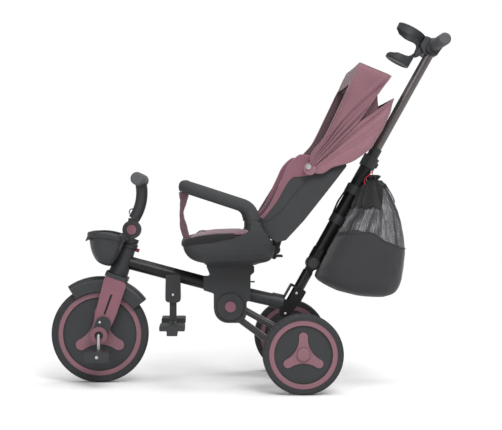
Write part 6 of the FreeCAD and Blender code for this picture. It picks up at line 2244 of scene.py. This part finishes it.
class HubCap:
    """Coloured cap over the middle of a rear wheel's three-armed trim."""

    PROFILE = ((0.3, 17.5), (16.0, 17.5), (16.0, 20.0), (15.2, 21.2), (12.0, 21.8), (6.0, 22.0), (0.3, 22.0))

    def build(self, material: Material) -> None:
        """Makes a cap on each face of both rear wheels.

        Args:
            material: the material to show.
        """
        for wheel, word in SIDES:
            centre = at(REAR_AXLE_X, wheel * REAR_WHEEL_Y, REAR_WHEEL_R)
            for side in (-1, 1):
                cap = Piece("hub_cap_%s_%s" % (word, "out" if wheel * side > 0 else "in"))
                cap.spun(self.PROFILE, centre, (0, side, 0), steps=48)
                cap.finish(material, "%s_rear_wheel" % word, "pink_plastic")


# Finishes of the CAD pieces


class Finishes:
    """One material per finish, and which CAD pieces wear it."""

    def __init__(self) -> None:
        """Makes every material and lists what wears it."""
        self.dark = Plastic(Tone.DARK).make("dark_moulding")
        self.shell = Plastic(Tone.DARK, roughness=0.55, grain=0.1, grain_scale=600.0).make("shell_moulding")
        self.pink = Plastic(Tone.PINK, roughness=0.42, variation=0.08).make("pink_moulding")
        self.trim = Plastic(Tone.TRIM, roughness=0.46, variation=0.1).make("wheel_trim")
        self.red = Plastic(Tone.LOCK, roughness=0.4, variation=0.06).make("red_moulding")
        self.black = CoatedMetal(Tone.BLACK).make("black_coat")
        self.grey = CoatedMetal(Tone.GREY, roughness=0.3, metallic=0.45).make("grey_coat")
        self.fork = ForkPlastic(Tone.PINK).make("fork_moulding")
        self.cap = CapPlastic(Tone.DARK).make("cap_moulding")
        self.tube = CoatedMetal(Tone.TUBE, roughness=0.26, metallic=0.8).make("tube_coat")
        self.steel = BareSteel().make("bare_steel")
        self.grip = Foam(Tone.GRIP).make("grip_foam")
        self.foam = Foam(Tone.FOAM, cells=520.0).make("bar_foam")
        self.front_tyre = TyreFoam(at(0, 0, FRONT_WHEEL_R), mm(FRONT_WHEEL_R)).make("front_tyre")
        near, far = (at(REAR_AXLE_X, side * REAR_WHEEL_Y, REAR_WHEEL_R) for side, _ in SIDES)
        self.near_tyre = TyreFoam(near, mm(REAR_WHEEL_R), blocks=42).make("near_tyre")
        self.far_tyre = TyreFoam(far, mm(REAR_WHEEL_R), blocks=42).make("far_tyre")
        self.seat = Cloth(Tone.SEAT, flat=False, thread=1.3).make("seat_cloth")
        self.pad = Cloth(Tone.PAD, flat=False, thread=1.3).make("pad_cloth")
        self.wing = Cloth(Tone.PAD, rows=(6.0,), thread=1.1).make("wing_cloth")
        self.hood = Cloth(Tone.HOOD, rows=(7.0,), thread=0.9, depth=0.25, sheen=0.12).make("hood_cloth")
        # The front panel wears a darker copy of the hood's cloth as painted shade, and crown paints more
        # shade on its middle panel.
        self.hood_front = Cloth(Tone.HOOD_FRONT_SHADED, rows=(7.0,), thread=0.9, depth=0.25, sheen=0.12,
                                crown=0.75).make("hood_front_shaded_cloth")
        self.hood_inside = Cloth(Tone.INSIDE, thread=1.0, depth=0.3, sheen=0.0).make("hood_inside")
        self.hem = Cloth(Tone.TRIM, thread=1.0).make("hem_cloth")
        self.strap = Cloth(Tone.SEAT, thread=1.4, depth=0.5).make("strap_webbing")
        self.lining = Cloth(Tone.CORD, thread=1.2, depth=0.3, sheen=0.1).make("lining_cloth")
        self.bag = Cloth(Tone.BAG, thread=1.0, depth=0.3, sheen=0.15).make("bag_cloth")
        self.net = Net().make("bag_net")
        self.cord = Fibre(Tone.CORD).make("black_cord")
        self.red_cord = Fibre(Tone.RED, pitch=1.8).make("red_cord")
        self.worn_by = {
            self.dark: ("rear_near_disc", "rear_far_disc", "front_disc", "fender", "fork_crown", "head_tube",
                        "bar_clevis", "handlebar_stem", "basket", "housing_near", "housing_far",
                        "axle_housing", "footrest_bracket", "footrest_arm", "footrest_pads", "push_fold_pin",
                        "tube_clamp", "bar_collars", "clamp_button", "handle_head", "cup_holder",
                        "seat_release_tab", "recline_lever", "pedal_near", "pedal_far", "rear_strut"),
            self.shell: ("seat_shell", "armrest_posts", "backrest_shell"),
            self.pink: ("bar_button", "hub_button"),
            self.fork: ("fork_legs",),
            self.cap: ("fork_end_caps",),
            self.trim: ("front_trim", "rear_near_trim", "rear_far_trim"),
            self.red: ("steering_lock_tab",),
            self.black: ("main_tube", "push_outer_tube", "push_base_tube", "push_bracket"),
            self.grey: ("rear_fork",),
            self.tube: ("push_inner_tube",),
            self.steel: ("crank_axle", "rear_axle", "hood_snaps"),
            self.grip: ("handlebar_grips", "handle_grips"),
            self.foam: ("safety_bar",),
            self.front_tyre: ("front_tyre",),
            self.near_tyre: ("rear_near_tyre",),
            self.far_tyre: ("rear_far_tyre",),
        }

    def dress(self, nodes: dict[str, Object]) -> None:
        """Gives every CAD piece its material; soft ones that are replaced get theirs too.

        Args:
            nodes: the CAD pieces by name.
        """
        wears = {name: material for material, names in self.worn_by.items() for name in names}
        for name, obj in nodes.items():
            material = wears.get(name, self.dark)
            if name not in wears:
                LOG.info("%s wears the plain dark moulding", name)
            if not obj.material_slots:
                obj.data.materials.append(material)
            for place in obj.material_slots:
                place.material = material


# Stage


@dataclass
class Stage:
    """Floor, lights, background and camera."""
    axis_x: float = 252.3
    eye_z: float = 470.6
    distance: float = 3300.0
    focal: float = 1270.0
    width: float = 502.0
    height: float = 430.0
    axis_px: float = 197.5
    axis_py: float = 200.5
    sensor: float = 36.0
    fill: float = 0.42

    def camera(self) -> None:
        """Puts the camera where the photograph was taken from."""
        data = bpy.data.cameras.new("camera")
        data.sensor_width = self.sensor
        data.lens = self.sensor * self.focal / self.width
        data.shift_x = (self.width / 2 - self.axis_px) / self.width
        data.shift_y = -(self.height / 2 - self.axis_py) / self.width
        data.clip_end = 60.0
        obj = add("camera", data)
        obj.location = at(self.axis_x, -self.distance, self.eye_z)
        obj.rotation_euler = (radians(90), 0, 0)
        bpy.context.scene.camera = obj

    def light(self, name: str, place: Sequence, aim: Sequence, size: float, power: float) -> None:
        """Adds a round soft light.

        Args:
            name: its name.
            place: where it stands, in metres.
            aim: where it looks.
            size: its diameter in metres.
            power: its power in watts.
        """
        data = bpy.data.lights.new(name, "AREA")
        data.shape = "DISK"
        data.size = size
        data.energy = power
        obj = add(name, data)
        obj.location = place
        obj.rotation_euler = (Vector(aim) - Vector(place)).to_track_quat("-Z", "Y").to_euler()

    def background(self) -> None:
        """Shows plain white to the camera and lights softly from all round."""
        world = bpy.data.worlds.new("studio")
        bpy.context.scene.world = world
        world.use_nodes = True
        tree = world.node_tree
        seen = tree.nodes["Background"]
        seen.inputs["Color"].default_value = WHITE
        seen.inputs["Strength"].default_value = 1.0
        fill = tree.nodes.new("ShaderNodeBackground")
        fill.inputs["Color"].default_value = WHITE
        fill.inputs["Strength"].default_value = self.fill
        blend = tree.nodes.new("ShaderNodeMixShader")
        path = tree.nodes.new("ShaderNodeLightPath")
        tree.links.new(path.outputs["Is Camera Ray"], blend.inputs[0])
        tree.links.new(fill.outputs[0], blend.inputs[1])
        tree.links.new(seen.outputs[0], blend.inputs[2])
        tree.links.new(blend.outputs[0], tree.nodes["World Output"].inputs["Surface"])

    def build(self) -> None:
        """Makes the camera, the background, the lights and the floor."""
        self.camera()
        self.background()
        self.light("key", (0.9, -2.9, 2.9), (0, 0, 0.4), 2.0, 105.0)
        self.light("front_fill", (-1.8, -3.6, 1.6), (0.1, 0, 0.4), 2.6, 42.0)
        self.light("rim", (2.4, 2.2, 2.6), (0, 0, 0.5), 2.0, 55.0)
        self.light("top", (0.1, -0.2, 3.6), (0, 0, 0.0), 3.0, 70.0)
        mesh = bmesh.new()
        bmesh.ops.create_grid(mesh, x_segments=8, y_segments=8, size=9.0)
        data = bpy.data.meshes.new("floor")
        mesh.to_mesh(data)
        mesh.free()
        floor = add("floor", data)
        data.materials.append(Floor().make("pale_floor"))
        bpy.context.scene.view_settings.view_transform = "Standard"


def main() -> None:
    """Builds the tricycle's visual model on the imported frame."""
    logging.basicConfig(level=logging.INFO, format="%(message)s")
    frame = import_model()
    Stage().build()
    finishes = Finishes()
    BarCords().build(finishes.cord)
    finishes.dress(frame["nodes"])
    Canopy().build(finishes)
    SeatCushion().build(finishes)
    SeatSides().build(finishes.shell)
    Backrest().build(finishes)
    _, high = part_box("crotch_strap")
    SafetyStrap().build(finishes.strap, finishes.seat, high[2])
    Bag().build(finishes)
    Rivets().build(finishes.steel)
    Basket().build(finishes.dark)
    CupHolder().build(finishes.dark)
    HandleHead().build(finishes.dark)
    HubCap().build(finishes.trim)


if __name__ == "__main__":
    main()
